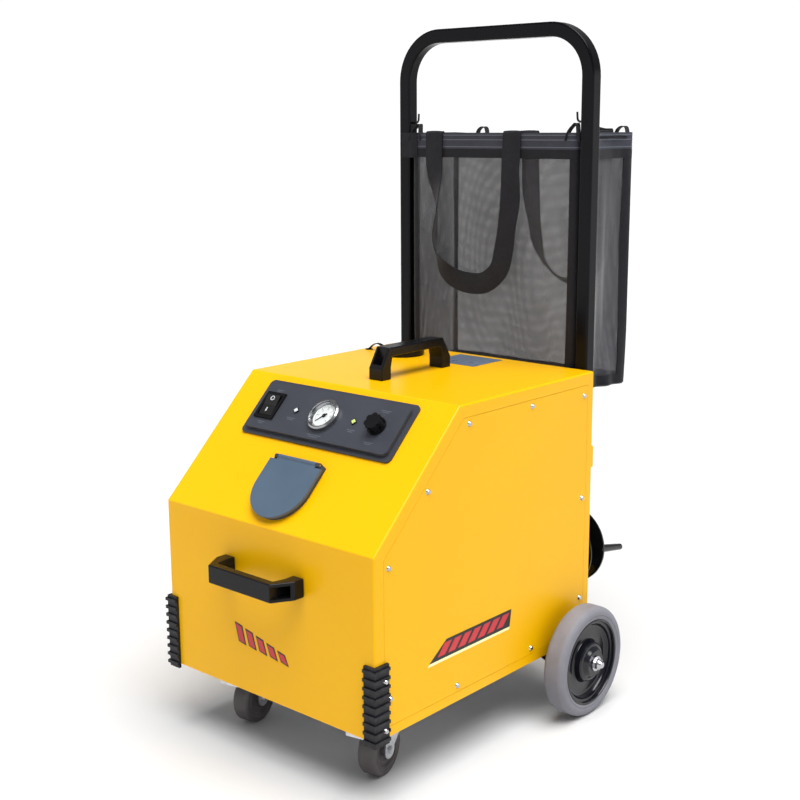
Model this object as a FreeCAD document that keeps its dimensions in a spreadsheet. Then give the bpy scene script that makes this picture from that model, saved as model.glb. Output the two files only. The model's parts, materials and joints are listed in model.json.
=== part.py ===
import FreeCAD, Part
import math
import os
import re
from collections import namedtuple

import Sketcher
from FreeCAD import Placement, Rotation, Vector

# A commercial steam cleaner on two rear wheels and two front casters.
# X points to the right of someone facing the front, Y to the rear and Z up.
# The origin is on the ground, under the middle of the whole machine.

SIZES = {
    # sheet-metal body
    "front_y": -286, "body_width": 400, "body_depth": 482, "body_height": 411,
    "ground_gap": 96.5, "front_height": 246, "slope_run": 169, "steel": 2,
    "fold_radius": 3, "panel_inset": 18.5, "panel_low": 14, "panel_rear": 14, "panel_gap": 0.5,
    "ledge_width": 16, "fit_gap": 0.5, "tray_lip": 24,
    "screw_inset": 9, "screw_radius": 2, "screw_hole": 2.1, "screw_head": 4,
    "screw_crown": 2.6, "screw_rise": 2.4, "screw_length": 8,
    # controls on the sloping face, measured up the slope from its foot
    "panel_x": 143, "panel_foot": 131, "panel_top": 224, "panel_corner": 8,
    "panel_base": 3, "panel_rise": 9, "panel_step": 7, "panel_wall": 3, "panel_row": 177,
    "window_x": 125, "window_half": 30,
    "rocker_x": -108.5, "rocker_wide": 37, "rocker_tall": 44, "rocker_deep": 24,
    "rocker_rim": 3, "rocker_proud": 2.5, "rocker_key_rise": 5, "rocker_play": 1.4,
    "lamp_x": 55.5, "lamp_radius": 3.6, "lamp_rise": 2.6, "lamp_deep": 14,
    "gauge_radius": 25, "gauge_rise": 8, "gauge_deep": 22, "gauge_rim": 3.5,
    "dial_sunk": 7, "dial_thick": 1, "needle_length": 15, "needle_tail": 5,
    "needle_thick": 0.6, "needle_hub": 2, "pivot_radius": 0.8, "pivot_play": 0.05,
    "lens_thick": 1.2, "lens_sunk": 3,
    "knob_x": 98, "knob_radius": 14, "knob_height": 14, "knob_skirt": 3,
    "knob_lobe": 4.2, "stem_radius": 3, "stem_play": 0.05, "stem_length": 12,
    "valve_radius": 13, "valve_deep": 30,
    # steam outlet and its lid
    "outlet_radius": 49, "outlet_middle": 59.5, "outlet_top": 106, "outlet_frame": 6,
    "lid_thick": 4, "lid_gap": 0.4, "hinge_up": 102.5, "hinge_out": 8.5,
    "hinge_radius": 1.5, "hinge_play": 0.08, "knuckle_radius": 3.4, "knuckle_wide": 14,
    "hinge_half": 39, "socket_up": 55, "socket_radius": 24, "socket_bore": 14,
    "socket_deep": 42, "socket_proud": 3,
    # carrying handles
    "grip_half": 77, "grip_bar_half": 60, "grip_foot": 20, "grip_wall": 17,
    "grip_reach": 46, "grip_bar": 13, "grip_wide": 26, "grip_edge": 2, "grip_seat": 5,
    "grip_pocket": 14, "grip_pocket_wide": 17,
    "front_grip_z": 275.5, "deck_grip_y": 301,
    # corner guards
    "guard_thick": 4, "guard_front": 20, "guard_side": 27, "guard_drop": 6,
    "guard_height": 109, "guard_screw_y": 16, "guard_screw_low": 109,
    "guard_screw_high": 176.5, "guard_ribs": 9, "rib_pitch": 12, "rib_tall": 4.5,
    "rib_proud": 2.4, "rib_low": 4.5, "rib_well": 6,
    # filler on the deck
    "filler_x": -114, "filler_y": 412, "cap_radius": 35, "cap_height": 9,
    "neck_radius": 29, "neck_bore": 25.5, "neck_flange": 33, "neck_lip": 2,
    "neck_deep": 38, "plug_radius": 25, "plug_deep": 14,
    "tether_x": -186, "tether_wide": 6, "tether_thick": 1.4, "tether_arch": 9,
    "tether_end": 4,
    # blank plates
    "plate_thick": 0.5, "rating_half": 42, "rating_front": 397, "rating_rear": 470,
    "front_badge_left": -64, "front_badge_right": 58, "front_badge_low": 145,
    "front_badge_high": 195,
    # cart handle
    "tube": 21, "tube_wall": 1.8, "tube_edge": 3, "tube_half": 184, "tube_top": 1010,
    "tube_foot": 112, "bend_radius": 68, "strap_thick": 5, "strap_tall": 34,
    "strap_high": 360, "strap_low": 112, "low_strap_half": 188,
    "bolt_radius": 4, "bolt_head": 7, "bolt_head_rise": 5, "bolt_hole": 4.1,
    # accessory bag
    "bag_front": 488, "bag_neck_rear": 511, "bag_rear": 619, "bag_neck_half": 159,
    "bag_half": 174, "bag_low": 458, "bag_rim": 853, "bag_wall": 3,
    "web_wide": 33, "web_thick": 2.5, "web_radius": 58.5, "front_web_x": -42,
    "front_web_low": 610, "rear_web_x": 67, "rear_web_low": 605,
    "rim_wire": 1.5, "rim_wire_gap": 0.2, "rim_wire_drop": 8, "rim_wire_bend": 2,
    "hook_wire": 1.6, "hook_y": 497, "hook_reach": 11, "hook_low": 868, "hook_up": 14,
    # cord reel on the rear
    "reel_x": 123, "reel_z": 211, "flange_radius": 63, "flange_thick": 3,
    "flange_dish": 7, "reel_hub": 27, "reel_inner": 28.5, "reel_outer": 60,
    "reel_pin": 8, "reel_play": 0.08, "peg_radius": 6.6, "peg_tip": 5, "peg_length": 62,
    "peg_droop": 11, "peg_x": 56, "reel_plate": 60, "reel_plate_thick": 3,
    # rear wheels
    "axle_y": 422, "wheel_radius": 83, "wheel_inner": 217, "wheel_width": 34,
    "rim_radius": 65, "axle_radius": 8, "axle_play": 0.06, "axle_end": 262,
    "hub_radius": 21, "hub_inner": 212, "hub_outer": 256, "nut_radius": 8.8,
    "nut_thick": 5, "nut_dome": 5, "bracket_inner": 152, "bracket_outer": 192,
    "bracket_thick": 4, "bracket_half": 50, "bracket_drop": 30,
    # front casters
    "stem_x": 125, "stem_y": 110, "caster_turn": 11.5, "caster_trail": 28,
    "caster_radius": 37.5, "caster_width": 27, "core_radius": 27, "caster_bolt": 4,
    "caster_play": 0.06, "plate_half_x": 46, "plate_half_y": 38, "plate_steel": 3,
    "race_radius": 21, "race_low": 86, "king_radius": 6, "king_play": 0.06,
    "crown_low": 80, "fork_steel": 2.5, "fork_gap": 1.2, "fork_top_half": 17,
    "fork_eye": 12, "caster_nut": 5.5, "caster_nut_thick": 3,
    "pedal_half": 13.8, "pedal_tread_half": 15, "pedal_thick": 3, "pedal_reach": 88,
    "pedal_tread": 16, "pedal_pin_y": -27, "pedal_pin_z": 80.5, "pedal_pin": 2,
    "pedal_play": 0.06, "pedal_ear": 5,
    # power inlet
    "inlet_x": -120, "inlet_z": 200, "inlet_radius": 14, "inlet_rise": 14,
    "inlet_bore": 5,
    # what the body holds
    "boiler_x": 85, "boiler_y": 330, "boiler_radius": 85, "boiler_low": 130,
    "boiler_high": 390, "boiler_wall": 3, "boiler_dome": 22,
    "element_rod": 4.5, "element_flange": 30, "tank_left": -185, "tank_right": -40,
    "tank_front": 250, "tank_rear": 470, "tank_low": 110, "tank_high": 466,
    "tank_wall": 3, "pump_x": -110, "pump_y": 120, "pump_radius": 28,
    "pump_length": 90, "pump_foot": 62, "box_left": -10, "box_right": 120,
    "box_front": 40, "box_rear": 90, "box_low": 110, "box_high": 250,
    "pipe_radius": 4, "pipe_rise": 40, "solenoid": 30,
}

Frame = namedtuple("Frame", "origin rotation")
X_AXIS, Y_AXIS, Z_AXIS = Vector(1, 0, 0), Vector(0, 1, 0), Vector(0, 0, 1)
UPRIGHT = Rotation()
ALONG_X = Rotation(Y_AXIS, 90)
ALONG_MINUS_X = Rotation(Y_AXIS, -90)
ALONG_Y = Rotation(X_AXIS, -90)
ALONG_MINUS_Y = Rotation(X_AXIS, 90)
SIDES = {"left": -1, "right": 1}
ORIGIN = ("0", "0", "0")

document = FreeCAD.newDocument("SteamCleaner")
sheet = document.addObject("Spreadsheet::Sheet", "Sizes")
nodes = []


def fill_sheet():
    """Put each driving dimension in a cell of its own, named by its alias."""
    for row, (alias, value) in enumerate(SIZES.items(), start=1):
        sheet.set(f"A{row}", alias.replace("_", " "))
        sheet.set(f"B{row}", str(value))
        sheet.setAlias(f"B{row}", alias)
    document.recompute()


def bound(text):
    """Turn the dimensions' names in an expression into references to their cells."""
    def reference(word):
        return f"Sizes.{word[0]}" if word[0] in SIZES else word[0]
    return re.sub(r"[A-Za-z_]\w*", reference, str(text))


def size(text):
    """The value of an expression on the sheet, in millimetres or degrees."""
    return float(sheet.evalExpression(bound(text)))


def place(piece, at=ORIGIN, turn=UPRIGHT, frame=None):
    """Put a piece at a point of a frame, with its position bound to the sheet."""
    frame = frame or BODY
    piece.Placement = Placement(Vector(), frame.rotation.multiply(turn))
    columns = [frame.rotation.multVec(axis) for axis in (X_AXIS, Y_AXIS, Z_AXIS)]
    for index, letter in enumerate("xyz"):
        terms = [f"({frame.origin[index]})"]
        for column, coordinate in zip(columns, at):
            if abs(column[index]) > 1e-9 and coordinate != "0":
                terms.append(f"{column[index]:.12f} * ({coordinate})")
        piece.setExpression(f"Placement.Base.{letter}", bound(" + ".join(terms)))
    return piece


def node(name, piece):
    """Name a finished sub-part, which is written to a file of that name."""
    piece.Label = name
    nodes.append(piece)
    return piece


def primitive(kind, sizes, at, turn, frame):
    piece = document.addObject(f"Part::{kind}", kind)
    for name, text in sizes.items():
        piece.setExpression(name, bound(text))
    return place(piece, at, turn, frame)


def box(low, high, frame=None):
    """A block between two corners of a frame."""
    spans = [f"({top}) - ({bottom})" for bottom, top in zip(low, high)]
    sizes = dict(zip(("Length", "Width", "Height"), spans))
    return primitive("Box", sizes, low, UPRIGHT, frame)


def cylinder(at, radius, length, turn=UPRIGHT, frame=None):
    return primitive("Cylinder", {"Radius": radius, "Height": length}, at, turn, frame)


def cone(at, radius, end_radius, length, turn=UPRIGHT, frame=None):
    sizes = {"Radius1": radius, "Radius2": end_radius, "Height": length}
    return primitive("Cone", sizes, at, turn, frame)


def torus(at, ring, section, turn=UPRIGHT, frame=None):
    return primitive("Torus", {"Radius1": ring, "Radius2": section}, at, turn, frame)


def fuse(*pieces):
    joined = document.addObject("Part::MultiFuse", "Fuse")
    joined.Shapes = list(pieces)
    joined.Refine = True
    return joined


def cut(base, *tools):
    taken = document.addObject("Part::Cut", "Cut")
    taken.Base = base
    taken.Tool = tools[0] if len(tools) == 1 else fuse(*tools)
    taken.Refine = True
    return taken


def common(first, second):
    shared = document.addObject("Part::Common", "Common")
    shared.Base = first
    shared.Tool = second
    return shared


def group(*pieces):
    """Several separate solids that make one node, such as a set of screws."""
    bundle = document.addObject("Part::Compound", "Group")
    bundle.Links = list(pieces)
    return bundle


def runs_along(direction):
    """A test for straight edges that run in one direction."""
    def test(edge):
        straight = isinstance(edge.Curve, Part.Line)
        return straight and edge.Curve.Direction.cross(direction).Length < 1e-6
    return test


def rounded(piece, radius, wanted=None):
    """Round all of a piece's edges, or only those that pass a test."""
    document.recompute()
    edges = []
    for number, edge in enumerate(piece.Shape.Edges, start=1):
        if wanted is None or wanted(edge):
            edges.append((number, size(radius), size(radius)))
    softened = document.addObject("Part::Fillet", "Fillet")
    softened.Base = piece
    softened.Edges = edges
    return softened


def sketch_polygon(body, role, points, offset):
    """A closed polygon on one of a body's origin planes, each corner bound to the sheet."""
    sketch = body.newObject("Sketcher::SketchObject", "Sketch")
    plane = next(item for item in body.Origin.OriginFeatures if item.Role == role)
    sketch.AttachmentSupport = [(plane, "")]
    sketch.MapMode = "FlatFace"
    sketch.setExpression("AttachmentOffset.Base.z", bound(offset))
    corners = [Vector(size(across), size(up), 0) for across, up in points]
    for start, end in zip(corners, corners[1:] + corners[:1]):
        sketch.addGeometry(Part.LineSegment(start, end))
    for number, (across, up) in enumerate(points):
        following = (number + 1) % len(points)
        sketch.addConstraint(Sketcher.Constraint("Coincident", number, 2, following, 1))
        for kind, text in (("DistanceX", across), ("DistanceY", up)):
            rule = Sketcher.Constraint(kind, -1, 1, number, 1, size(text))
            index = sketch.addConstraint(rule)
            sketch.setExpression(f"Constraints[{index}]", bound(text))
    return sketch


def prism(plane, points, start, depth, frame=None, at=ORIGIN):
    """A padded polygon. The plane names the sketch's two axes, and start is along the third."""
    body = document.addObject("PartDesign::Body", "Body")
    offset = f"-(({start}) + ({depth}))" if plane == "XZ" else start
    sketch = sketch_polygon(body, f"{plane}_Plane", points, offset)
    pad = body.newObject("PartDesign::Pad", "Pad")
    pad.Profile = sketch
    pad.setExpression("Length", bound(depth))
    return place(body, at, UPRIGHT, frame)


def turned(profile, at=ORIGIN, turn=UPRIGHT, frame=None):
    """A body of revolution from (radius, height) points about its own Z axis."""
    body = document.addObject("PartDesign::Body", "Body")
    sketch = sketch_polygon(body, "XZ_Plane", profile, "0")
    spin = body.newObject("PartDesign::Revolution", "Revolution")
    spin.Profile = sketch
    spin.ReferenceAxis = (sketch, ["V_Axis"])
    spin.Angle = 360
    return place(body, at, turn, frame)


def swept(points, bend, section, frame=None):
    """A solid of a section swept along straight runs joined by arcs of one radius."""
    edges = []
    start = points[0]
    for before, corner, after in zip(points, points[1:], points[2:]):
        back = (before - corner).normalize()
        ahead = (after - corner).normalize()
        half = back.getAngle(ahead) / 2
        reach = bend / math.tan(half)
        middle = (back + ahead).normalize() * (bend / math.sin(half) - bend)
        first, last = corner + back * reach, corner + ahead * reach
        edges.append(Part.LineSegment(start, first).toShape())
        edges.append(Part.Arc(first, corner + middle, last).toShape())
        start = last
    edges.append(Part.LineSegment(start, points[-1]).toShape())
    maker = Part.BRepOffsetAPI.MakePipeShell(Part.Wire(edges))
    maker.setFrenetMode(True)
    maker.add(section)
    maker.build()
    maker.makeSolid()
    piece = document.addObject("Part::Feature", "Sweep")
    piece.Shape = maker.shape()
    return place(piece, frame=frame)


def circle_section(centre, normal, radius):
    return Part.Wire([Part.Circle(centre, normal, radius).toShape()])


def square_section(centre, side, edge):
    """A square with rounded corners in the XY plane."""
    block = Part.makeBox(side, side, 1, centre - Vector(side / 2, side / 2, 0))
    if edge > 0:
        uprights = [line for line in block.Edges if abs(line.tangentAt(0).z) > 0.5]
        block = block.makeFillet(edge, uprights)
    low = min(block.Faces, key=lambda face: face.CenterOfMass.z)
    return low.OuterWire


fill_sheet()
SLOPE_ANGLE = math.degrees(math.atan2(size("body_height - front_height"), size("slope_run")))
SLOPE_TURN = Rotation(X_AXIS, SLOPE_ANGLE)
# the offset of an inset corner, from the front's and the deck's ends of the slope
FRONT_CORNER = math.tan(math.radians(90 - SLOPE_ANGLE) / 2)
DECK_CORNER = math.tan(math.radians(SLOPE_ANGLE) / 2)
# BODY measures from the front face and the ground, REAR from the rear face, DECK from
# the top of the body, and SLOPE up and out from the foot of the sloping face
BODY = Frame(("0", "front_y", "0"), UPRIGHT)
REAR = Frame(("0", "front_y + body_depth", "0"), UPRIGHT)
DECK = Frame(("0", "front_y", "ground_gap + body_height"), UPRIGHT)
SLOPE = Frame(("0", "front_y", "ground_gap + front_height"), SLOPE_TURN)


def side_outline(inset, low, rear):
    """The body seen from the side, moved in from each edge."""
    return [
        (inset, f"ground_gap + {low}"),
        (inset, f"ground_gap + front_height - ({inset}) * {FRONT_CORNER:.9f}"),
        (f"slope_run + ({inset}) * {DECK_CORNER:.9f}", f"ground_gap + body_height - ({inset})"),
        (f"body_depth - ({rear})", f"ground_gap + body_height - ({inset})"),
        (f"body_depth - ({rear})", f"ground_gap + {low}"),
    ]


def side_prism(inset, low, rear, width):
    return prism("YZ", side_outline(inset, low, rear), f"-({width}) / 2", width)


def side_screw_spots():
    """Where the screws sit on a side panel, as distances from the front and the ground."""
    inset = f"(panel_inset + screw_inset)"
    low = "ground_gap + panel_low + screw_inset"
    rear = "body_depth - panel_rear - screw_inset"
    high = f"ground_gap + body_height - {inset}"
    slope_y = f"slope_run + {inset} * {DECK_CORNER:.9f}"
    slope_z = f"ground_gap + front_height - {inset} * {FRONT_CORNER:.9f}"
    return [
        (f"{inset} + 2", "ground_gap + 51"), (inset, f"{slope_z} - 8"),
        (f"({inset} + {slope_y}) / 2", f"({slope_z} + {high}) / 2"),
        (f"{slope_y} + 8", high), ("329", high), (rear, f"{high} - 6"),
        (rear, "ground_gap + 222"), (rear, "ground_gap + 65"),
        ("335", low), ("165", low),
    ]


def screw(at, turn, frame=None):
    """A pan-head screw whose head rests on the point and whose shank goes in behind it."""
    head = cone(at, "screw_head", "screw_crown", "screw_rise", turn, frame)
    shank = cylinder(at, "screw_radius", "screw_length", turn.multiply(Rotation(X_AXIS, 180)),
                     frame)
    return fuse(head, shank)


def screw_hole(at, turn, frame=None):
    return cylinder(at, "screw_hole", "screw_length + 1",
                    turn.multiply(Rotation(X_AXIS, 180)), frame)


def side_turn(side):
    return ALONG_X if side > 0 else ALONG_MINUS_X


def side_panel_spots():
    for side in SIDES.values():
        for along, up in side_screw_spots():
            yield (f"{side} * body_width / 2", along, up), side_turn(side)


def rear_panel_spots():
    half = "(body_width / 2 - 2 * steel - fit_gap - screw_inset)"
    for side in SIDES.values():
        for up in ("ground_gap + 70", "ground_gap + 200", "ground_gap + body_height - 22"):
            yield (f"{side} * {half}", "body_depth", up), ALONG_Y


def guard_spots():
    for side in SIDES.values():
        for up in ("guard_screw_low", "guard_screw_high"):
            at = (f"{side} * (body_width / 2 + guard_thick)", "guard_screw_y", up)
            yield at, side_turn(side)


def grip_spots():
    """The screws that hold the two carrying handles, in the feet of each."""
    for side in SIDES.values():
        along = f"{side} * (grip_half - grip_foot / 2)"
        yield (along, "-grip_seat", "front_grip_z"), ALONG_MINUS_Y
        yield ("0", f"deck_grip_y + {along}", "ground_gap + body_height + grip_seat"), UPRIGHT


def is_fold(edge):
    """Whether an edge of the closed body is a fold, and not an open edge below or behind."""
    middle = edge.CenterOfMass
    below = middle.z < size("ground_gap") + 1
    behind = middle.y > size("front_y + body_depth") - 1
    return not (below or behind)


def build_cover():
    """The folded sheet that makes the front, slope and deck, with flanges down each side."""
    closed = rounded(side_prism("0", "0", "0", "body_width"), "fold_radius", is_fold)
    inside = side_prism("steel", "-1", "-1", "body_width - 2 * steel")
    opening = side_prism("panel_inset - panel_gap", "panel_low - panel_gap",
                         "panel_rear - panel_gap", "body_width + 2")
    shell = cut(closed, inside, opening)
    ring = side_prism("steel", "0", "0", "body_width - 2 * steel")
    ring_hole = side_prism("panel_inset + ledge_width", "panel_low + ledge_width",
                           "panel_rear + ledge_width", "body_width")
    ring_core = side_prism("0", "-1", "-1", "body_width - 4 * steel")
    ledges = cut(ring, ring_hole, ring_core)
    window = box(("-window_x", "panel_row - window_half", "-steel - 1"),
                 ("window_x", "panel_row + window_half", "1"), SLOPE)
    outlet = cylinder(("0", "socket_up", "-steel - 1"), "socket_radius + fit_gap",
                      "steel + 2", frame=SLOPE)
    filler = cylinder(("filler_x", "filler_y", "-steel - 1"), "neck_radius + fit_gap",
                      "steel + 2", frame=DECK)
    holes = [screw_hole(at, turn) for at, turn in side_panel_spots()]
    holes += [screw_hole(at, turn) for at, turn in guard_spots()]
    holes += [screw_hole(at, turn) for at, turn in grip_spots()]
    node("outer_cover", cut(fuse(shell, ledges), window, outlet, filler, *holes))


def build_side_panels():
    for name, side in SIDES.items():
        start = "body_width / 2 - steel" if side > 0 else "-body_width / 2"
        outline = side_outline("panel_inset", "panel_low", "panel_rear")
        plate = prism("YZ", outline, start, "steel")
        spots = [spot for spot in side_panel_spots() if spot[1] == side_turn(side)]
        node(f"side_panel_{name}", cut(plate, *[screw_hole(at, turn) for at, turn in spots]))


def build_tray_and_rear():
    """The floor pan with its four upturned edges, and the rear panel that closes the body."""
    side = "(body_width / 2 - 2 * steel - fit_gap)"
    front, rear = "steel + fit_gap", "body_depth - steel - fit_gap"
    pan = box((f"-{side}", front, "ground_gap"), (side, rear, "ground_gap + tray_lip"))
    hollow = box((f"-{side} + steel", f"{front} + steel", "ground_gap + steel"),
                 (f"{side} - steel", f"{rear} - steel", "ground_gap + tray_lip + 1"))
    node("base_tray", cut(pan, hollow, *[screw_hole(at, turn) for at, turn in guard_spots()],
                          *[screw_hole(at, turn) for at, turn in rear_panel_spots()],
                          *[screw_hole(at, turn) for at, turn in side_panel_spots()]))
    plate = box((f"-{side}", "body_depth - steel", "ground_gap"),
                (side, "body_depth", "ground_gap + body_height - steel - fit_gap"))
    holes = [screw_hole(at, turn) for at, turn in rear_panel_spots()]
    holes.append(cylinder(("inlet_x", "-steel - 1", "inlet_z"), "inlet_bore + 3",
                          "steel + 2", ALONG_Y, REAR))
    holes += [bolt_hole(at) for at in handle_bolt_spots()]
    node("rear_panel", cut(plate, *holes))


def build_screws():
    covers = list(side_panel_spots()) + list(rear_panel_spots())
    node("cover_screws", group(*[screw(at, turn) for at, turn in covers]))
    trims = list(guard_spots()) + list(grip_spots())
    node("trim_screws", group(*[screw(at, turn) for at, turn in trims]))


def guard_outline(side, proud):
    """One corner guard from above: a leg along the front and a leg along the side."""
    outside = f"{side} * (body_width / 2 + guard_thick + {proud})"
    return [
        (outside, f"-guard_thick - {proud}"),
        (f"{side} * (body_width / 2 + guard_thick - guard_front)", f"-guard_thick - {proud}"),
        (f"{side} * (body_width / 2 + guard_thick - guard_front)", "0"),
        (f"{side} * body_width / 2", "0"),
        (f"{side} * body_width / 2", "guard_side - guard_thick"),
        (outside, "guard_side - guard_thick"),
    ]


def build_guards():
    """The moulded L-shaped guard on each front corner, ribbed from top to bottom."""
    guards = []
    for side in SIDES.values():
        plate = prism("XY", guard_outline(side, "0"), "ground_gap - guard_drop", "guard_height")
        ribs = []
        for number in range(SIZES["guard_ribs"]):
            low = f"ground_gap - guard_drop + rib_low + {number} * rib_pitch"
            ribs.append(prism("XY", guard_outline(side, "rib_proud"), low, "rib_tall"))
        wells = [cylinder(at, "rib_well", "rib_proud + 1", turn) for at, turn in guard_spots()]
        holes = [screw_hole(at, turn) for at, turn in guard_spots()]
        guards.append(cut(fuse(plate, *ribs), *wells, *holes))
    node("corner_guards", group(*guards))


def grip_outline(sign):
    """One carrying handle from the side: two feet, sloping shoulders and a bar."""
    half = [
        ("grip_half", "0"), ("grip_half", "grip_wall"), ("grip_bar_half", "grip_reach"),
    ]
    inner = [
        ("grip_half - grip_foot", "0"),
        ("grip_half - grip_foot", "grip_wall"),
        ("grip_bar_half - grip_bar / 2", "grip_reach - grip_bar"),
    ]
    right = [(across, f"{sign} * ({out})") for across, out in half]
    left = [(f"-({across})", out) for across, out in reversed(right)]
    under = [(across, f"{sign} * ({out})") for across, out in inner]
    under_left = [(f"-({across})", out) for across, out in under]
    return right + left + under_left + list(reversed(under))


def build_grips():
    """The bridge handle on the front face and its twin that runs front to back on the deck."""
    front = prism("XY", grip_outline(-1), "front_grip_z - grip_wide / 2", "grip_wide")
    deck_frame = Frame(("0", "front_y + deck_grip_y", "ground_gap + body_height"), UPRIGHT)
    deck = prism("YZ", grip_outline(1), "-grip_wide / 2", "grip_wide", deck_frame)
    holes = [screw_hole(at, turn) for at, turn in grip_spots()]
    half, half_wide = "grip_pocket / 2", "grip_pocket_wide / 2"
    roof = "ground_gap + body_height"
    pockets = []
    for side in SIDES.values():
        along = f"{side} * (grip_half - grip_foot / 2)"
        pockets.append(box((f"{along} - {half}", "-grip_reach - 1", f"front_grip_z - {half_wide}"),
                           (f"{along} + {half}", "-grip_seat", f"front_grip_z + {half_wide}")))
        along = f"deck_grip_y + {along}"
        pockets.append(box((f"-{half_wide}", f"{along} - {half}", f"{roof} + grip_seat"),
                           (half_wide, f"{along} + {half}", f"{roof} + grip_reach + 1")))
    node("front_handle", cut(rounded(front, "grip_edge"), *pockets, *holes))
    node("top_handle", cut(rounded(deck, "grip_edge"), *pockets, *holes))


def build_panel():
    """The stepped moulding round the controls, with an opening for each of them."""
    low = box(("-panel_x", "panel_foot", "0"), ("panel_x", "panel_top", "panel_base"), SLOPE)
    normal = SLOPE_TURN.multVec(Z_AXIS)
    raised = box(("-panel_x + panel_step", "panel_foot + panel_step", "0"),
                 ("panel_x - panel_step", "panel_top - panel_step", "panel_rise"), SLOPE)
    inside = box(("-panel_x + panel_step + panel_wall",
                  "panel_foot + panel_step + panel_wall", "-1"),
                 ("panel_x - panel_step - panel_wall",
                  "panel_top - panel_step - panel_wall", "panel_rise - panel_wall"), SLOPE)
    moulding = fuse(rounded(low, "panel_corner", runs_along(normal)),
                    rounded(raised, "panel_corner", runs_along(normal)))
    holes = [
        inside,
        rocker_block("rocker_wide / 2 - rocker_rim", "rocker_tall / 2 - rocker_rim", "-1",
                     "panel_rise + 1"),
        cylinder(("0", "panel_row", "-1"), "gauge_radius - 2", "panel_rise + 2", frame=SLOPE),
        cylinder(("knob_x", "panel_row", "-1"), "stem_radius + 1.5", "panel_rise + 2",
                 frame=SLOPE),
    ]
    for side in SIDES.values():
        holes.append(cylinder((f"{side} * lamp_x", "panel_row", "-1"), "lamp_radius",
                              "panel_rise + 2", frame=SLOPE))
    node("panel_bezel", cut(moulding, *holes))


def rocker_block(half_wide, half_tall, low, high):
    return box((f"rocker_x - ({half_wide})", f"panel_row - ({half_tall})", low),
               (f"rocker_x + ({half_wide})", f"panel_row + ({half_tall})", high), SLOPE)


def build_rocker():
    """The mains switch: a framed housing through the panel and a key that rocks in it."""
    collar = rocker_block("rocker_wide / 2", "rocker_tall / 2", "panel_rise",
                          "panel_rise + rocker_proud")
    inner_wide, inner_tall = "rocker_wide / 2 - rocker_rim", "rocker_tall / 2 - rocker_rim"
    case = rocker_block(f"{inner_wide} - 0.1", f"{inner_tall} - 0.1",
                        "panel_rise - rocker_deep", "panel_rise + rocker_proud")
    hollow = rocker_block(f"{inner_wide} - 1.6", f"{inner_tall} - 1.6",
                          "panel_rise - rocker_deep + 2", "panel_rise + rocker_proud + 1")
    node("rocker_housing", cut(fuse(collar, case), hollow))
    half_wide = f"({inner_wide} - 1.6 - rocker_play)"
    half_tall = f"({inner_tall} - 1.6 - rocker_play)"
    low, high = "panel_rise - 6", "panel_rise + rocker_key_rise"
    outline = [
        (f"panel_row - {half_tall} + 1.5", low), (f"panel_row + {half_tall} - 1.5", low),
        (f"panel_row + {half_tall}", high), ("panel_row", "panel_rise + rocker_proud"),
        (f"panel_row - {half_tall}", "panel_rise + rocker_proud - 1.5"),
    ]
    node("power_rocker", prism("YZ", outline, f"rocker_x - {half_wide}", f"2 * {half_wide}",
                               SLOPE))


def build_lamps():
    lamps = []
    for side in SIDES.values():
        across = f"{side} * lamp_x"
        barrel = cylinder((across, "panel_row", "panel_rise - lamp_deep"), "lamp_radius - 0.1",
                          "lamp_deep", frame=SLOPE)
        dome = cone((across, "panel_row", "panel_rise"), "lamp_radius", "lamp_radius / 2",
                    "lamp_rise", frame=SLOPE)
        lamps.append(fuse(barrel, dome))
    node("indicator_lamps", group(*lamps))


def build_gauge():
    """The pressure gauge: cased dial, a needle on a pin and a glass."""
    at = ("0", "panel_row", "panel_rise")
    inner = "(gauge_radius - gauge_rim)"
    dial_top = "(gauge_rise - dial_sunk)"
    case = turned([
        ("0", "-gauge_deep"), ("gauge_radius - 2.2", "-gauge_deep"), ("gauge_radius - 2.2", "0"),
        ("gauge_radius", "0"), ("gauge_radius", "gauge_rise - 2"),
        ("gauge_radius - 2", "gauge_rise"), (inner, "gauge_rise"),
        (inner, f"{dial_top} - dial_thick"), ("pivot_radius", f"{dial_top} - dial_thick"),
        ("pivot_radius", f"{dial_top} + 1.6"), ("0", f"{dial_top} + 1.6"),
    ], at, frame=SLOPE)
    node("gauge_case", case)
    node("gauge_dial", turned([
        ("pivot_radius", f"{dial_top} - dial_thick"), (inner, f"{dial_top} - dial_thick"),
        (inner, dial_top), ("pivot_radius", dial_top),
    ], at, frame=SLOPE))
    low = "(panel_rise + gauge_rise - dial_sunk + 0.5)"
    # at rest the needle points down and to the left, at the scale's zero
    zero = Rotation(Z_AXIS, 225)
    along = SLOPE_TURN.multiply(zero)
    needle_frame = Frame(frame_origin(SLOPE, ("0", "panel_row", low)), along)
    blade = prism("XY", [("-needle_tail", "-1"), ("needle_length", "-0.25"),
                         ("needle_length", "0.25"), ("-needle_tail", "1")],
                  "0", "needle_thick", needle_frame)
    hub = cylinder(ORIGIN, "needle_hub", "needle_thick", frame=needle_frame)
    bore = cylinder(("0", "0", "-1"), "pivot_radius + pivot_play", "3", frame=needle_frame)
    node("gauge_needle", cut(fuse(blade, hub), bore))
    node("gauge_lens", cylinder(("0", "panel_row", "panel_rise + gauge_rise - lens_sunk"),
                                f"{inner} - 0.05", "lens_thick", frame=SLOPE))


def frame_origin(frame, at):
    """The expressions for a frame's point, as the origin of another frame."""
    origin = []
    for index in range(3):
        terms = [f"({frame.origin[index]})"]
        for axis, coordinate in zip((X_AXIS, Y_AXIS, Z_AXIS), at):
            share = frame.rotation.multVec(axis)[index]
            terms.append(f"{share:.12f} * ({coordinate})")
        origin.append(" + ".join(terms))
    return tuple(origin)


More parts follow.
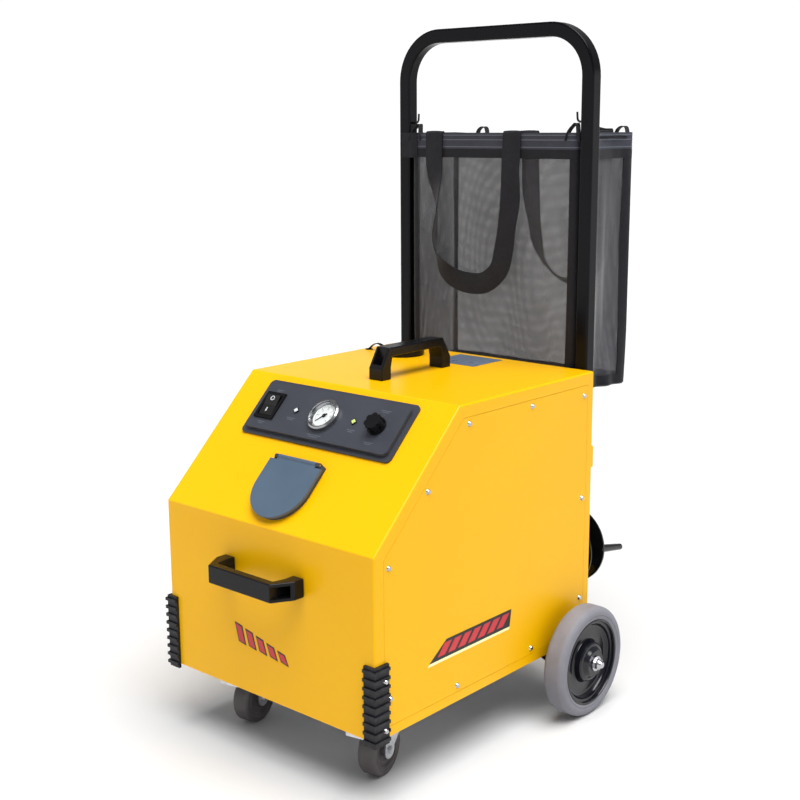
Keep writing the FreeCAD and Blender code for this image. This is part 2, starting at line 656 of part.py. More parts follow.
def build_knob():
    """The steam regulator: a fluted knob on the stem of a valve behind the panel."""
    at = ("knob_x", "panel_row", "panel_rise + 0.6")
    skirt = cylinder(at, "knob_radius", "knob_skirt", frame=SLOPE)
    body = cylinder(at, "knob_radius - 1", "knob_height", frame=SLOPE)
    flutes = []
    count = 7
    for number in range(count):
        turn = math.radians(360 / count * (number + 0.5))
        flutes.append(cylinder((f"knob_x + (knob_radius + 1.2) * {math.cos(turn):.9f}",
                                f"panel_row + (knob_radius + 1.2) * {math.sin(turn):.9f}",
                                "panel_rise + 0.6 + knob_skirt"),
                               "knob_lobe", "knob_height", frame=SLOPE))
    bore = cylinder(("knob_x", "panel_row", "panel_rise"), "stem_radius + stem_play",
                    "stem_length + 1", frame=SLOPE)
    node("steam_knob", cut(fuse(skirt, cut(body, *flutes)), bore))
    node("steam_valve", turned([
        ("0", "-valve_deep"), ("valve_radius", "-valve_deep"), ("valve_radius", "-6"),
        ("stem_radius + 2", "-6"), ("stem_radius + 2", "-1 - panel_wall"),
        ("stem_radius", "-1 - panel_wall"), ("stem_radius", "stem_length"),
        ("0", "stem_length"),
    ], ("knob_x", "panel_row", "panel_rise"), frame=SLOPE))


def outlet_shape(radius, low, high):
    """A plate with a straight top edge and a round bottom."""
    disc = cylinder(("0", "outlet_middle", low), radius, f"({high}) - ({low})", frame=SLOPE)
    half = box((f"-({radius}) - 1", f"outlet_middle - ({radius}) - 1", low),
               (f"{radius} + 1", "outlet_middle", high), SLOPE)
    upper = box((f"-({radius})", "outlet_middle", low),
                (radius, f"outlet_top - (outlet_radius - ({radius}))", high), SLOPE)
    return fuse(common(disc, half), upper)


def build_outlet():
    """The steam outlet: a surround, the socket in it and a hinged lid over both."""
    surround = outlet_shape("outlet_radius - 2", "0", "outlet_frame")
    well = cylinder(("0", "socket_up", "-1"), "socket_radius + fit_gap", "outlet_frame + 2",
                    frame=SLOPE)
    pin_gap = box(("-hinge_half - 1", "hinge_up - knuckle_radius - 1",
                   "outlet_frame - 1.6"),
                  ("hinge_half + 1", "outlet_top + 1", "outlet_frame + 1"), SLOPE)
    ears = []
    for side in SIDES.values():
        middle = f"{side} * (hinge_half - knuckle_wide / 2 + 7.5)"
        ear = box((f"{middle} - 3", "hinge_up - knuckle_radius", "0"),
                  (f"{middle} + 3", "hinge_up + knuckle_radius", "hinge_out"), SLOPE)
        tip = cylinder((f"{middle} - 3", "hinge_up", "hinge_out"), "knuckle_radius", "6",
                       ALONG_X, SLOPE)
        ears += [ear, tip]
    pin_hole = cylinder(("-hinge_half - 10", "hinge_up", "hinge_out"), "hinge_radius",
                        "2 * hinge_half + 20", ALONG_X, SLOPE)
    node("outlet_frame", cut(fuse(cut(surround, well, pin_gap), *ears), pin_hole))
    node("flap_hinge_pin", cylinder(("-hinge_half - 3.5", "hinge_up", "hinge_out"),
                                    "hinge_radius", "2 * hinge_half + 7", ALONG_X, SLOPE))
    plate = outlet_shape("outlet_radius", "outlet_frame + lid_gap",
                         "outlet_frame + lid_gap + lid_thick")
    corners = []
    for side in SIDES.values():
        middle = f"{side} * (hinge_half + 5)"
        corners.append(box((f"{middle} - 7.5", "hinge_up - knuckle_radius - 2", "0"),
                           (f"{middle} + 7.5", "outlet_top + 1", "20"), SLOPE))
    relief = box(("-outlet_radius - 1", "hinge_up + knuckle_radius - 0.4", "0"),
                 ("outlet_radius + 1", "outlet_top + 1", "20"), SLOPE)
    knuckle = cylinder(("-hinge_half + 3", "hinge_up", "hinge_out"), "knuckle_radius",
                       "2 * hinge_half - 6", ALONG_X, SLOPE)
    bore = cylinder(("-hinge_half - 1", "hinge_up", "hinge_out"), "hinge_radius + hinge_play",
                    "2 * hinge_half + 2", ALONG_X, SLOPE)
    node("outlet_flap", cut(fuse(cut(plate, relief, *corners), knuckle), bore))
    socket = cylinder(("0", "socket_up", "-socket_deep"), "socket_radius",
                      "socket_deep + socket_proud", frame=SLOPE)
    hole = cylinder(("0", "socket_up", "-socket_deep + 8"), "socket_bore",
                    "socket_deep + socket_proud", frame=SLOPE)
    node("steam_outlet_socket", cut(socket, hole))


def build_filler():
    """The filler neck in the deck, its plug-in cap and the cap's tether."""
    at = ("filler_x", "filler_y", "0")
    node("filler_neck", turned([
        ("neck_bore", "-neck_deep"), ("neck_radius", "-neck_deep"), ("neck_radius", "0"),
        ("neck_flange", "0"), ("neck_flange", "neck_lip"), ("neck_bore", "neck_lip"),
    ], at, frame=DECK))
    node("filler_cap", turned([
        ("0", "neck_lip + 0.3 - plug_deep"), ("plug_radius", "neck_lip + 0.3 - plug_deep"),
        ("plug_radius", "neck_lip + 0.3"), ("cap_radius", "neck_lip + 0.3"),
        ("cap_radius", "neck_lip + cap_height - 2"), ("cap_radius - 2", "neck_lip + cap_height"),
        ("0", "neck_lip + cap_height"),
    ], at, frame=DECK))
    steps = 8
    reach = "(filler_x - cap_radius - 0.5 - tether_x)"
    upper, lower = [], []
    for step in range(steps + 1):
        share = step / steps
        rise = math.sin(math.pi * share)
        across = f"tether_x + {reach} * {share:.6f}"
        height = f"tether_arch * {rise:.6f} + tether_end * {share:.6f}"
        lower.append((across, height))
        upper.append((across, f"{height} + tether_thick"))
    band = prism("XZ", lower + upper[::-1], "filler_y - tether_wide / 2", "tether_wide", DECK)
    anchor = cylinder(("tether_x", "filler_y", "0"), "tether_wide", "tether_thick", frame=DECK)
    node("cap_tether", fuse(band, anchor))


def build_plates():
    """Blank plates: one on the deck, one on the front and one on each side."""
    rating = box(("-rating_half", "rating_front", "0"),
                 ("rating_half", "rating_rear", "plate_thick"), DECK)
    front = box(("front_badge_left", "-plate_thick", "front_badge_low"),
                ("front_badge_right", "0", "front_badge_high"))
    outline = [("111", "167"), ("283", "163"), ("286", "193"), ("131", "194")]
    right = prism("YZ", outline, "body_width / 2", "plate_thick")
    left = prism("YZ", outline, "-body_width / 2 - plate_thick", "plate_thick")
    node("blank_plates", group(rating, front, right, left))


def handle_bolt_spots():
    for side in SIDES.values():
        for low in ("strap_high", "strap_low"):
            yield (f"{side} * (tube_half - tube / 2)", "0", f"{low} + strap_tall / 2")


def bolt_hole(at):
    across, _, up = at
    return cylinder((across, "-20", up), "bolt_hole", "80", ALONG_Y, REAR)


def build_cart_handle():
    """The bent tube, the two straps that carry it on the rear panel, and its bolts."""
    leg = size("tube_half - tube / 2")
    depth = size("body_depth + strap_thick + tube / 2")
    foot, top = size("tube_foot"), size("tube_top - tube / 2")
    path = [Vector(-leg, depth, foot), Vector(-leg, depth, top), Vector(leg, depth, top),
            Vector(leg, depth, foot)]
    bend = size("bend_radius")
    outside = swept(path, bend, square_section(path[0], size("tube"), size("tube_edge")))
    bore = size("tube - 2 * tube_wall")
    edge = size("tube_edge - tube_wall")
    inside = swept(path, bend, square_section(path[0], bore, edge))
    holes = [bolt_hole(at) for at in handle_bolt_spots()]
    node("cart_handle", cut(outside, inside, *holes))
    high = box(("-body_width / 2", "0", "strap_high"),
               ("body_width / 2", "strap_thick", "strap_high + strap_tall"), REAR)
    low = box(("-low_strap_half", "0", "strap_low"),
              ("low_strap_half", "strap_thick", "strap_low + strap_tall"), REAR)
    straps = [rounded(strap, "3", runs_along(Y_AXIS)) for strap in (high, low)]
    node("handle_mount_straps", cut(group(*straps), *[bolt_hole(at) for at in handle_bolt_spots()]))
    bolts = []
    for across, _, up in handle_bolt_spots():
        shank = cylinder((across, "-steel - 8", up), "bolt_radius",
                         "steel + 8 + strap_thick + tube", ALONG_Y, REAR)
        head = cone((across, "strap_thick + tube", up), "bolt_head", "bolt_head - 2.5",
                    "bolt_head_rise", ALONG_Y, REAR)
        nut = cylinder((across, "-steel - 7", up), "bolt_head", "7", ALONG_Y, REAR)
        bolts.append(fuse(shank, head, nut))
    node("handle_bolts", group(*bolts))


def build_bag_hooks():
    """A J-shaped wire hook on the inner face of each leg."""
    hooks = []
    wire = size("hook_wire")
    inner = size("tube_half - tube")
    for side in SIDES.values():
        reach = inner - size("hook_reach")
        low, top = size("hook_low"), size("hook_low + hook_up")
        path = [Vector(side * inner, size("hook_y"), low), Vector(side * reach, size("hook_y"), low),
                Vector(side * (reach - 1), size("hook_y"), top)]
        section = circle_section(path[0], X_AXIS, wire)
        hooks.append(swept(path, size("hook_reach / 2"), section))
    node("bag_hooks", group(*hooks))


def bag_outline(inset):
    """The bag from above: narrow between the legs and full width behind them."""
    half = [
        (f"bag_neck_half - {inset}", f"bag_front + {inset}"),
        (f"bag_neck_half - {inset}", f"bag_neck_rear + {inset}"),
        (f"bag_half - {inset}", f"bag_neck_rear + {inset}"),
        (f"bag_half - {inset}", f"bag_rear - {inset}"),
    ]
    return half + [(f"-({across})", along) for across, along in reversed(half)]


def build_bag():
    """The open-topped bag, its hem wire and its two webbing straps."""
    outside = prism("XY", bag_outline("0"), "bag_low", "bag_rim - bag_low")
    inside = prism("XY", bag_outline("bag_wall"), "bag_low + bag_wall", "bag_rim - bag_low")
    node("bag", cut(outside, inside))
    inset = size("bag_wall + rim_wire + rim_wire_gap")
    half = size("bag_half") - inset
    neck = size("bag_neck_half") - inset
    front, rear = size("bag_front") + inset, size("bag_rear") - inset
    neck_rear = size("bag_neck_rear") + inset
    height = size("bag_rim - rim_wire_drop")
    path = [Vector(neck - 40, front, height), Vector(neck, front, height),
            Vector(neck, neck_rear, height), Vector(half, neck_rear, height),
            Vector(half, rear, height), Vector(-half, rear, height),
            Vector(-half, neck_rear, height), Vector(-neck, neck_rear, height),
            Vector(-neck, front, height), Vector(-neck + 40, front, height)]
    section = circle_section(path[0], X_AXIS, size("rim_wire"))
    node("bag_rim_wire", swept(path, size("rim_wire_bend"), section))
    bag_strap("bag_strap_front", "front_web_x", "bag_front - web_thick - 0.5", "front_web_low")
    bag_strap("bag_strap_rear", "rear_web_x", "bag_rear - bag_wall - web_thick - 3.6",
              "rear_web_low")


def bag_strap(name, middle, front, low):
    """A flat strap that hangs from the rim in a U."""
    outer = "(web_radius + web_wide)"
    centre = f"({low} + {outer})"
    ring = cylinder((middle, front, centre), outer, "web_thick", ALONG_Y)
    eye = cylinder((middle, f"{front} - 1", centre), "web_radius", "web_thick + 2", ALONG_Y)
    lower = box((f"{middle} - {outer} - 1", f"{front} - 1", f"{low} - 1"),
                (f"{middle} + {outer} + 1", f"{front} + web_thick + 1", centre))
    legs = []
    for side in SIDES.values():
        inner_edge = f"{middle} + {side} * (web_radius + web_wide / 2)"
        legs.append(box((f"{inner_edge} - web_wide / 2", front, centre),
                        (f"{inner_edge} + web_wide / 2", f"{front} + web_thick", "bag_rim")))
    node(name, fuse(common(cut(ring, eye), lower), *legs))


def build_reel():
    """The cord reel on the rear panel: a spool that turns on a fixed pin."""
    plate = box(("reel_x - reel_plate / 2", "0", "reel_z - reel_plate / 2"),
                ("reel_x + reel_plate / 2 - 12", "reel_plate_thick", "reel_z + reel_plate / 2"),
                REAR)
    pin = cylinder(("reel_x", "0", "reel_z"), "reel_pin", "reel_outer + 8", ALONG_Y, REAR)
    collar = cylinder(("reel_x", "0", "reel_z"), "reel_pin + 6", "reel_inner - 1", ALONG_Y, REAR)
    node("reel_bracket", fuse(plate, pin, collar))
    bore = "reel_pin + reel_play"
    spool = turned([
        (bore, "reel_inner"), ("flange_radius", "reel_inner"),
        ("flange_radius", "reel_inner + flange_thick"), ("reel_hub", "reel_inner + flange_thick"),
        ("reel_hub", "reel_outer - flange_thick"),
        ("reel_hub + 8", "reel_outer - flange_thick"),
        ("flange_radius - 3", "reel_outer + flange_dish - flange_thick"),
        ("flange_radius", "reel_outer + flange_dish - flange_thick"),
        ("flange_radius", "reel_outer + flange_dish"), ("reel_hub + 8", "reel_outer"),
        (bore, "reel_outer"),
    ], ("reel_x", "0", "reel_z"), ALONG_Y, REAR)
    droop = Rotation(X_AXIS, -90 - SIZES["peg_droop"])
    peg = cone(("reel_x + peg_x", "reel_outer + 2", "reel_z + 2"), "peg_radius", "peg_tip",
               "peg_length", droop, REAR)
    node("cord_reel", fuse(spool, peg))


def build_rear_axle():
    """The axle across the machine, with an acorn nut on each end, and its two brackets."""
    centre = ("axle_y", "wheel_radius")
    shaft = cylinder(("-axle_end", *centre), "axle_radius", "2 * axle_end", ALONG_X)
    ends = []
    for side in SIDES.values():
        turn = side_turn(side)
        frame = Frame(("0", "front_y + axle_y", "wheel_radius"), turn)
        ends.append(cylinder(("0", "0", "hub_outer + 0.5"), "nut_radius + 2.5", "1.5", frame=frame))
        ends.append(hexagon("nut_radius", "hub_outer + 2", "nut_thick", frame))
        ends.append(cone(("0", "0", "hub_outer + 2 + nut_thick"), "nut_radius - 1.5",
                         "nut_radius / 2", "nut_dome", frame=frame))
    node("rear_axle", fuse(shaft, *ends))
    brackets = []
    for side in SIDES.values():
        near, far = sorted((f"{side} * bracket_inner", f"{side} * bracket_outer"), key=size)
        outline = [
            ("axle_y - bracket_half", "ground_gap"), ("axle_y + bracket_half", "ground_gap"),
            ("axle_y + bracket_half", "ground_gap - bracket_thick"),
            ("axle_y + 18", "ground_gap - bracket_drop"),
            ("axle_y - 18", "ground_gap - bracket_drop"),
            ("axle_y - bracket_half", "ground_gap - bracket_thick"),
        ]
        block = prism("YZ", outline, near, f"({far}) - ({near})")
        gap = box((f"{near} + bracket_thick", "axle_y - 60", "ground_gap - bracket_drop - 1"),
                  (f"{far} - bracket_thick", "axle_y + 60", "ground_gap - bracket_thick"))
        hole = cylinder((f"{near} - 1", *centre), "axle_radius + 0.05", "60", ALONG_X)
        brackets.append(cut(block, gap, hole))
    node("axle_brackets", group(*brackets))


def hexagon(radius, low, thick, frame):
    corners = []
    for number in range(6):
        turn = math.radians(60 * number)
        corners.append((f"{radius} * {math.cos(turn):.9f}", f"{radius} * {math.sin(turn):.9f}"))
    return prism("XY", corners, low, thick, frame)


def build_rear_wheels():
    """A dished plastic rim on a long hub, with a solid rubber tyre round it."""
    inner, outer = "wheel_inner", "wheel_inner + wheel_width"
    middle = "(wheel_inner + wheel_width / 2)"
    for name, side in SIDES.items():
        frame = Frame(("0", "front_y + axle_y", "wheel_radius"), side_turn(side))
        node(f"rear_tyre_{name}", turned([
            ("rim_radius", f"{inner} + 1.5"), ("rim_radius + 4", inner),
            ("wheel_radius - 7", inner), ("wheel_radius - 2", f"{inner} + 4"),
            ("wheel_radius", f"{inner} + 10"), ("wheel_radius", f"{outer} - 10"),
            ("wheel_radius - 2", f"{outer} - 4"), ("wheel_radius - 7", outer),
            ("rim_radius + 4", outer), ("rim_radius", f"{outer} - 1.5"),
        ], frame=frame))
        bore = "axle_radius + axle_play"
        node(f"rear_rim_{name}", turned([
            (bore, "hub_inner"), ("hub_radius", "hub_inner"), ("hub_radius + 2", f"{middle} - 3"),
            ("rim_radius - 8", f"{middle} - 3"), ("rim_radius - 5", f"{inner} + 1.5"),
            ("rim_radius", f"{inner} + 1.5"), ("rim_radius", f"{outer} - 1.5"),
            ("rim_radius - 4", f"{outer} - 1.5"), ("rim_radius - 8", f"{middle} + 3"),
            ("hub_radius + 10", f"{middle} + 3"), ("hub_radius + 7", f"{outer} - 5"),
            ("hub_radius", f"{outer} - 4"), ("hub_radius - 1", "hub_outer"),
            (bore, "hub_outer"),
        ], frame=frame))


def caster_frame(side):
    """The swivel of a caster, with Y pointing from the stem to behind its wheel."""
    origin = (f"{side} * stem_x", "front_y + stem_y", "0")
    return Frame(origin, Rotation(Z_AXIS, SIZES["caster_turn"]))


def build_casters():
    plates = []
    for name, side in SIDES.items():
        fixed = Frame((f"{side} * stem_x", "front_y + stem_y", "0"), UPRIGHT)
        plates.append(caster_plate(fixed))
        frame = caster_frame(side)
        build_fork(name, frame)
        build_caster_wheel(name, frame)
        build_pedal(name, frame)
    node("caster_mount_plates", group(*plates))


def caster_plate(frame):
    """The plate under the floor pan, with the ball race that the fork turns in."""
    plate = box(("-plate_half_x", "-plate_half_y", "ground_gap - plate_steel"),
                ("plate_half_x", "plate_half_y", "ground_gap"), frame)
    race = cylinder(("0", "0", "race_low"), "race_radius", "ground_gap - plate_steel - race_low",
                    frame=frame)
    hole = cylinder(("0", "0", "race_low - 1"), "king_radius + king_play",
                    "ground_gap - race_low", frame=frame)
    return cut(fuse(plate, race), hole)


def build_fork(name, frame):
    """The swivelling fork: a crown, a kingpin, two arms and the wheel's bolt and nut."""
    crown = cylinder(("0", "0", "crown_low"), "race_radius", "race_low - crown_low - 0.4",
                     frame=frame)
    king = cylinder(("0", "0", "crown_low"), "king_radius",
                    "ground_gap - plate_steel - crown_low + 1", frame=frame)
    inner = "(caster_width / 2 + fork_gap)"
    arms = []
    for side in SIDES.values():
        start = inner if side > 0 else f"-{inner} - fork_steel"
        outline = [
            ("fork_top_half - 2", "crown_low + fork_steel"),
            ("-fork_top_half - 4", "crown_low + fork_steel"),
            ("pedal_pin_y - pedal_ear", "pedal_pin_z + 4"),
            ("pedal_pin_y - pedal_ear", "pedal_pin_z - pedal_ear"),
            ("-caster_trail - fork_eye", "caster_radius + 3"),
            ("-caster_trail - fork_eye * 0.6", "caster_radius - fork_eye * 0.8"),
            ("-caster_trail + fork_eye * 0.6", "caster_radius - fork_eye * 0.8"),
            ("-caster_trail + fork_eye", "caster_radius + 3"),
            ("fork_top_half - 2", "crown_low - 8"),
        ]
        eye = cylinder((start, "-caster_trail", "caster_radius"), "fork_eye", "fork_steel",
                       ALONG_X, frame)
        arms += [prism("YZ", outline, start, "fork_steel", frame), eye]
    bridge = box((f"-{inner}", "-fork_top_half - 4", "crown_low"),
                 (inner, "fork_top_half - 2", "crown_low + fork_steel"), frame)
    bolt = cylinder((f"-{inner} - fork_steel - 3", "-caster_trail", "caster_radius"),
                    "caster_bolt", f"2 * {inner} + 2 * fork_steel + 4 + caster_nut_thick", ALONG_X,
                    frame)
    head = cylinder((f"-{inner} - fork_steel - 4", "-caster_trail", "caster_radius"),
                    "caster_nut", "4", ALONG_X, frame)
    nut = cylinder((f"{inner} + fork_steel", "-caster_trail", "caster_radius"), "caster_nut",
                   "caster_nut_thick", ALONG_X, frame)
    pin = cylinder((f"-{inner} - fork_steel - 1", "pedal_pin_y", "pedal_pin_z"), "pedal_pin",
                   f"2 * {inner} + 2 * fork_steel + 2", ALONG_X, frame)
    node(f"caster_fork_{name}", fuse(crown, king, bridge, *arms, bolt, head, nut, pin))


def build_caster_wheel(name, frame):
    half = "(caster_width / 2)"
    at, turn = ("0", "-caster_trail", "caster_radius"), ALONG_X
    node(f"caster_tyre_{name}", turned([
        ("core_radius", f"-{half} + 1"), ("core_radius + 2", f"-{half}"),
        ("caster_radius - 4", f"-{half}"), ("caster_radius - 1", f"-{half} + 3"),
        ("caster_radius", f"-{half} + 8"), ("caster_radius", f"{half} - 8"),
        ("caster_radius - 1", f"{half} - 3"), ("caster_radius - 4", half),
        ("core_radius + 2", half), ("core_radius", f"{half} - 1"),
    ], at, turn, frame))
    bore = "caster_bolt + caster_play"
    node(f"caster_core_{name}", turned([
        (bore, f"-{half} - 0.7"), ("9", f"-{half} - 0.7"), ("10", f"-{half} + 4"),
        ("core_radius - 4", f"-{half} + 3"), ("core_radius", f"-{half} + 1"),
        ("core_radius", f"{half} - 1"), ("core_radius - 4", f"{half} - 3"),
        ("10", f"{half} - 4"), ("9", f"{half} + 0.7"), (bore, f"{half} + 0.7"),
    ], at, turn, frame))


def build_pedal(name, frame):
    """The brake pedal on its pin: an arm with a shoe over the tyre, and a tread in front."""
    arm = prism("YZ", [
        ("pedal_pin_y + 4", "pedal_pin_z + 2.5"), ("pedal_pin_y + 4", "pedal_pin_z - 2.5"),
        ("pedal_pin_y - 7", "pedal_pin_z - 3"), ("pedal_pin_y - 9", "pedal_pin_z - 4"),
        ("pedal_pin_y - 19", "pedal_pin_z - 7.3"), ("pedal_pin_y - 21", "pedal_pin_z - 1"),
        ("-pedal_reach", "pedal_pin_z + 2"), ("-pedal_reach", "pedal_pin_z + 2 + pedal_thick"),
        ("pedal_pin_y - 21", "pedal_pin_z + 2.5"),
    ], "-pedal_half", "2 * pedal_half", frame)
    tread = prism("YZ", [
        ("-pedal_reach + pedal_tread", "pedal_pin_z - 1"),
        ("-pedal_reach + 2", "pedal_pin_z - 4.5"), ("-pedal_reach", "pedal_pin_z - 3.5"),
        ("-pedal_reach", "pedal_pin_z + 2 + pedal_thick"),
        ("-pedal_reach + pedal_tread + 8", "pedal_pin_z + 1 + pedal_thick"),
    ], "-pedal_tread_half", "2 * pedal_tread_half", frame)
    bore = cylinder(("-pedal_half - 1", "pedal_pin_y", "pedal_pin_z"), "pedal_pin + pedal_play",
                    "2 * pedal_half + 2", ALONG_X, frame)
    node(f"brake_pedal_{name}", cut(fuse(arm, tread), bore))


def build_inlet():
    """The strain-relief gland that the mains lead would enter by."""
    node("power_inlet", turned([
        ("inlet_bore", "-steel - 8"), ("inlet_bore + 2.8", "-steel - 8"),
        ("inlet_bore + 2.8", "0"), ("inlet_radius", "0"), ("inlet_radius", "4"),
        ("inlet_radius - 4", "5"), ("inlet_radius - 6", "inlet_rise"),
        ("inlet_bore", "inlet_rise"),
    ], ("inlet_x", "0", "inlet_z"), ALONG_Y, REAR))


def build_boiler():
    """A welded pressure vessel on a foot ring, with its heating element inside."""
    at = ("boiler_x", "boiler_y", "0")
    node("boiler", turned([
        ("element_flange + 1", "boiler_low"), ("boiler_radius - 12", "boiler_low"),
        ("boiler_radius - 12", "ground_gap + steel"), ("boiler_radius - 8", "ground_gap + steel"),
        ("boiler_radius - 8", "boiler_low"),
        ("boiler_radius", "boiler_low"), ("boiler_radius", "boiler_high - boiler_dome"),
        ("boiler_radius * 0.7", "boiler_high - boiler_dome * 0.35"), ("12", "boiler_high"),
        ("0", "boiler_high"), ("0", "boiler_high - boiler_wall"),
        ("12", "boiler_high - boiler_wall"),
        ("boiler_radius * 0.7 - 2", "boiler_high - boiler_dome * 0.35 - boiler_wall"),
        ("boiler_radius - boiler_wall", "boiler_high - boiler_dome - 1"),
        ("boiler_radius - boiler_wall", "boiler_low + boiler_wall"),
        ("element_flange + 1", "boiler_low + boiler_wall"),
    ], at))
    flange = cylinder(("boiler_x", "boiler_y", "boiler_low - 5"), "element_flange", "8")
    rods = []
    for side in SIDES.values():
        rods.append(cylinder((f"boiler_x + {side} * 18", "boiler_y", "boiler_low + 2"),
                             "element_rod", "150"))
    bend = torus(("boiler_x", "boiler_y", "boiler_low + 152"), "18", "element_rod",
                 ALONG_MINUS_Y)
    upper = box(("boiler_x - 40", "boiler_y - 10", "boiler_low + 152"),
                ("boiler_x + 40", "boiler_y + 10", "boiler_low + 190"))
    node("heating_element", fuse(flange, *rods, common(bend, upper)))


def build_tank():
    """The cold-water tank under the filler, open where the neck enters."""
    outside = box(("tank_left", "tank_front", "tank_low"),
                  ("tank_right", "tank_rear", "tank_high"))
    inside = box(("tank_left + tank_wall", "tank_front + tank_wall", "tank_low + tank_wall"),
                 ("tank_right - tank_wall", "tank_rear - tank_wall", "tank_high - tank_wall"))
    mouth = cylinder(("filler_x", "filler_y", "tank_high - 10"), "neck_bore", "20")
    node("water_tank", cut(rounded(outside, "10", runs_along(Z_AXIS)), inside, mouth))


def build_pump():
    floor = "ground_gap + steel"
    foot = box(("pump_x - pump_foot / 2", "pump_y - pump_length / 2", floor),
               ("pump_x + pump_foot / 2", "pump_y + pump_length / 2", f"{floor} + 5"))
    motor = cylinder(("pump_x", "pump_y - pump_length / 2", f"{floor} + 5 + pump_radius"),
                     "pump_radius", "pump_length", ALONG_Y)
    web = box(("pump_x - 10", "pump_y - pump_length / 2", f"{floor} + 4"),
              ("pump_x + 10", "pump_y + pump_length / 2", f"{floor} + 12"))
    head = box(("pump_x - 18", "pump_y + pump_length / 2", f"{floor} + pump_radius - 10"),
               ("pump_x + 18", "pump_y + pump_length / 2 + 22", f"{floor} + pump_radius + 22"))
    node("pump", fuse(foot, motor, web, head))


def build_control_box():
    outside = box(("box_left", "box_front", "box_low"), ("box_right", "box_rear", "box_high"))
    feet = box(("box_left + 10", "box_front + 5", "ground_gap + steel"),
               ("box_right - 10", "box_rear - 5", "box_low"))
    inside = box(("box_left + 2", "box_front + 2", "box_low + 2"),
                 ("box_right - 2", "box_rear - 2", "box_high - 2"))
    node("control_box", cut(fuse(outside, feet), inside))


def build_pipework():
    """The steam line over the boiler, with its solenoid valve, and the feed from the pump."""
    top = "boiler_high"
    riser = cylinder(("boiler_x", "boiler_y", top), "pipe_radius", "pipe_rise")
    level = f"{top} + pipe_rise"
    forward = cylinder(("boiler_x", "boiler_y - 75", level), "pipe_radius", "75", ALONG_Y)
    elbow = box(("boiler_x - 7", "boiler_y - 7", f"{level} - 7"),
                ("boiler_x + 7", "boiler_y + 7", f"{level} + 7"))
    solenoid = box(("boiler_x - solenoid / 2", "boiler_y - 100", f"{level} - solenoid / 2"),
                   ("boiler_x + solenoid / 2", "boiler_y - 70", f"{level} + solenoid / 2"))
    steam = fuse(riser, forward, elbow, solenoid)
    head_y = "pump_y + pump_length / 2 + 22"
    feed_z = "ground_gap + steel + pump_radius + 6"
    feed = cylinder(("pump_x", head_y, feed_z), "pipe_radius", f"tank_front - ({head_y})",
                    ALONG_Y)
    node("pipework", group(steam, feed))


def check_and_write():
    """Write each sub-part once every feature and every shape has been found sound."""
    document.recompute()
    faults = [item.Name for item in document.Objects
              if "Invalid" in item.State or "Error" in item.State]
    for piece in nodes:
        if piece.Shape.isNull() or not piece.Shape.isValid() or not piece.Shape.Solids:
            faults.append(piece.Label)
    if faults:
        raise RuntimeError(f"these features failed: {faults}")
    os.makedirs("parts", exist_ok=True)
    for piece in nodes:
        piece.Shape.exportStep(f"parts/{piece.Label}.step")
    print(len(nodes), "sub-parts written")


build_cover()
build_side_panels()
build_tray_and_rear()
build_screws()
build_guards()
build_grips()
build_panel()
build_rocker()
build_lamps()
build_gauge()
build_knob()
build_outlet()
build_filler()
build_plates()
build_cart_handle()
build_bag_hooks()
build_bag()
build_reel()
build_rear_axle()
build_rear_wheels()
build_casters()
build_inlet()
build_boiler()
build_tank()
build_pump()
build_control_box()
build_pipework()
check_and_write()
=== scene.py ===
import json
import math

import bpy
from mathutils import Matrix, Vector


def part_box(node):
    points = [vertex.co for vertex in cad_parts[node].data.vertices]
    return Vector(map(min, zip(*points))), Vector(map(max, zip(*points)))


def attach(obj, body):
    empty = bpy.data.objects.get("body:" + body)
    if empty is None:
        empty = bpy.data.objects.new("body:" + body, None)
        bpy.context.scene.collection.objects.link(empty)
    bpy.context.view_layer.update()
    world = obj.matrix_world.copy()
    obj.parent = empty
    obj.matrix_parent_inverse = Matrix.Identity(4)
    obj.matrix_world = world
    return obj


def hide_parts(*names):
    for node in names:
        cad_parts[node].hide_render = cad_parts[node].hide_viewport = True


# Lengths in this script are millimetres unless a name says metres, and become
# metres as each mesh is made. X is to the right, Y to the rear, Z up.
MM = 0.001

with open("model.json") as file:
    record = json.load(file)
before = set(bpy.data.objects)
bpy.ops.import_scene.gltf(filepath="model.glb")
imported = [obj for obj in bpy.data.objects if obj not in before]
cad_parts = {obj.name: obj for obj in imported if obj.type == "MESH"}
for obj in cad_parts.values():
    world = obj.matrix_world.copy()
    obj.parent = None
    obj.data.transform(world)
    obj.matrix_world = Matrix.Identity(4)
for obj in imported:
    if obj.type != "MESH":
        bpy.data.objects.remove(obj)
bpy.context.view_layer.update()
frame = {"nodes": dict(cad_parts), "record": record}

SIDES = {"left": -1, "right": 1}


# --- places ---

def limits(node):
    """A CAD node's lowest and highest corners, in millimetres."""
    low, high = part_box(node)
    return Vector(low) / MM, Vector(high) / MM


def middle_of(node):
    low, high = limits(node)
    return (low + high) / 2


JOINTS = {joint["name"]: joint for joint in frame["record"]["behaviour"]["joints"]}


def hinge_point(joint):
    return Vector(JOINTS[joint]["pos_m"]) / MM


def hinge_axis(joint):
    return Vector(JOINTS[joint]["axis"]).normalized()


# The sloping face: its normal is the knob's axis.
SLOPE_OUT = hinge_axis("steam_knob_turn")
SLOPE_UP = Vector((0, SLOPE_OUT.z, -SLOPE_OUT.y))
RIGHT = Vector((1, 0, 0))
UP = Vector((0, 0, 1))
REAR = Vector((0, 1, 0))


class Place:
    """A local frame: a point of it is origin + a * first + b * second + c * third."""

    def __init__(self, origin, first, second, third=None):
        self.origin = Vector(origin)
        self.first = Vector(first).normalized()
        self.second = Vector(second).normalized()
        self.third = third.normalized() if third else self.first.cross(self.second)

    def at(self, a, b, c=0.0):
        return self.origin + self.first * a + self.second * b + self.third * c


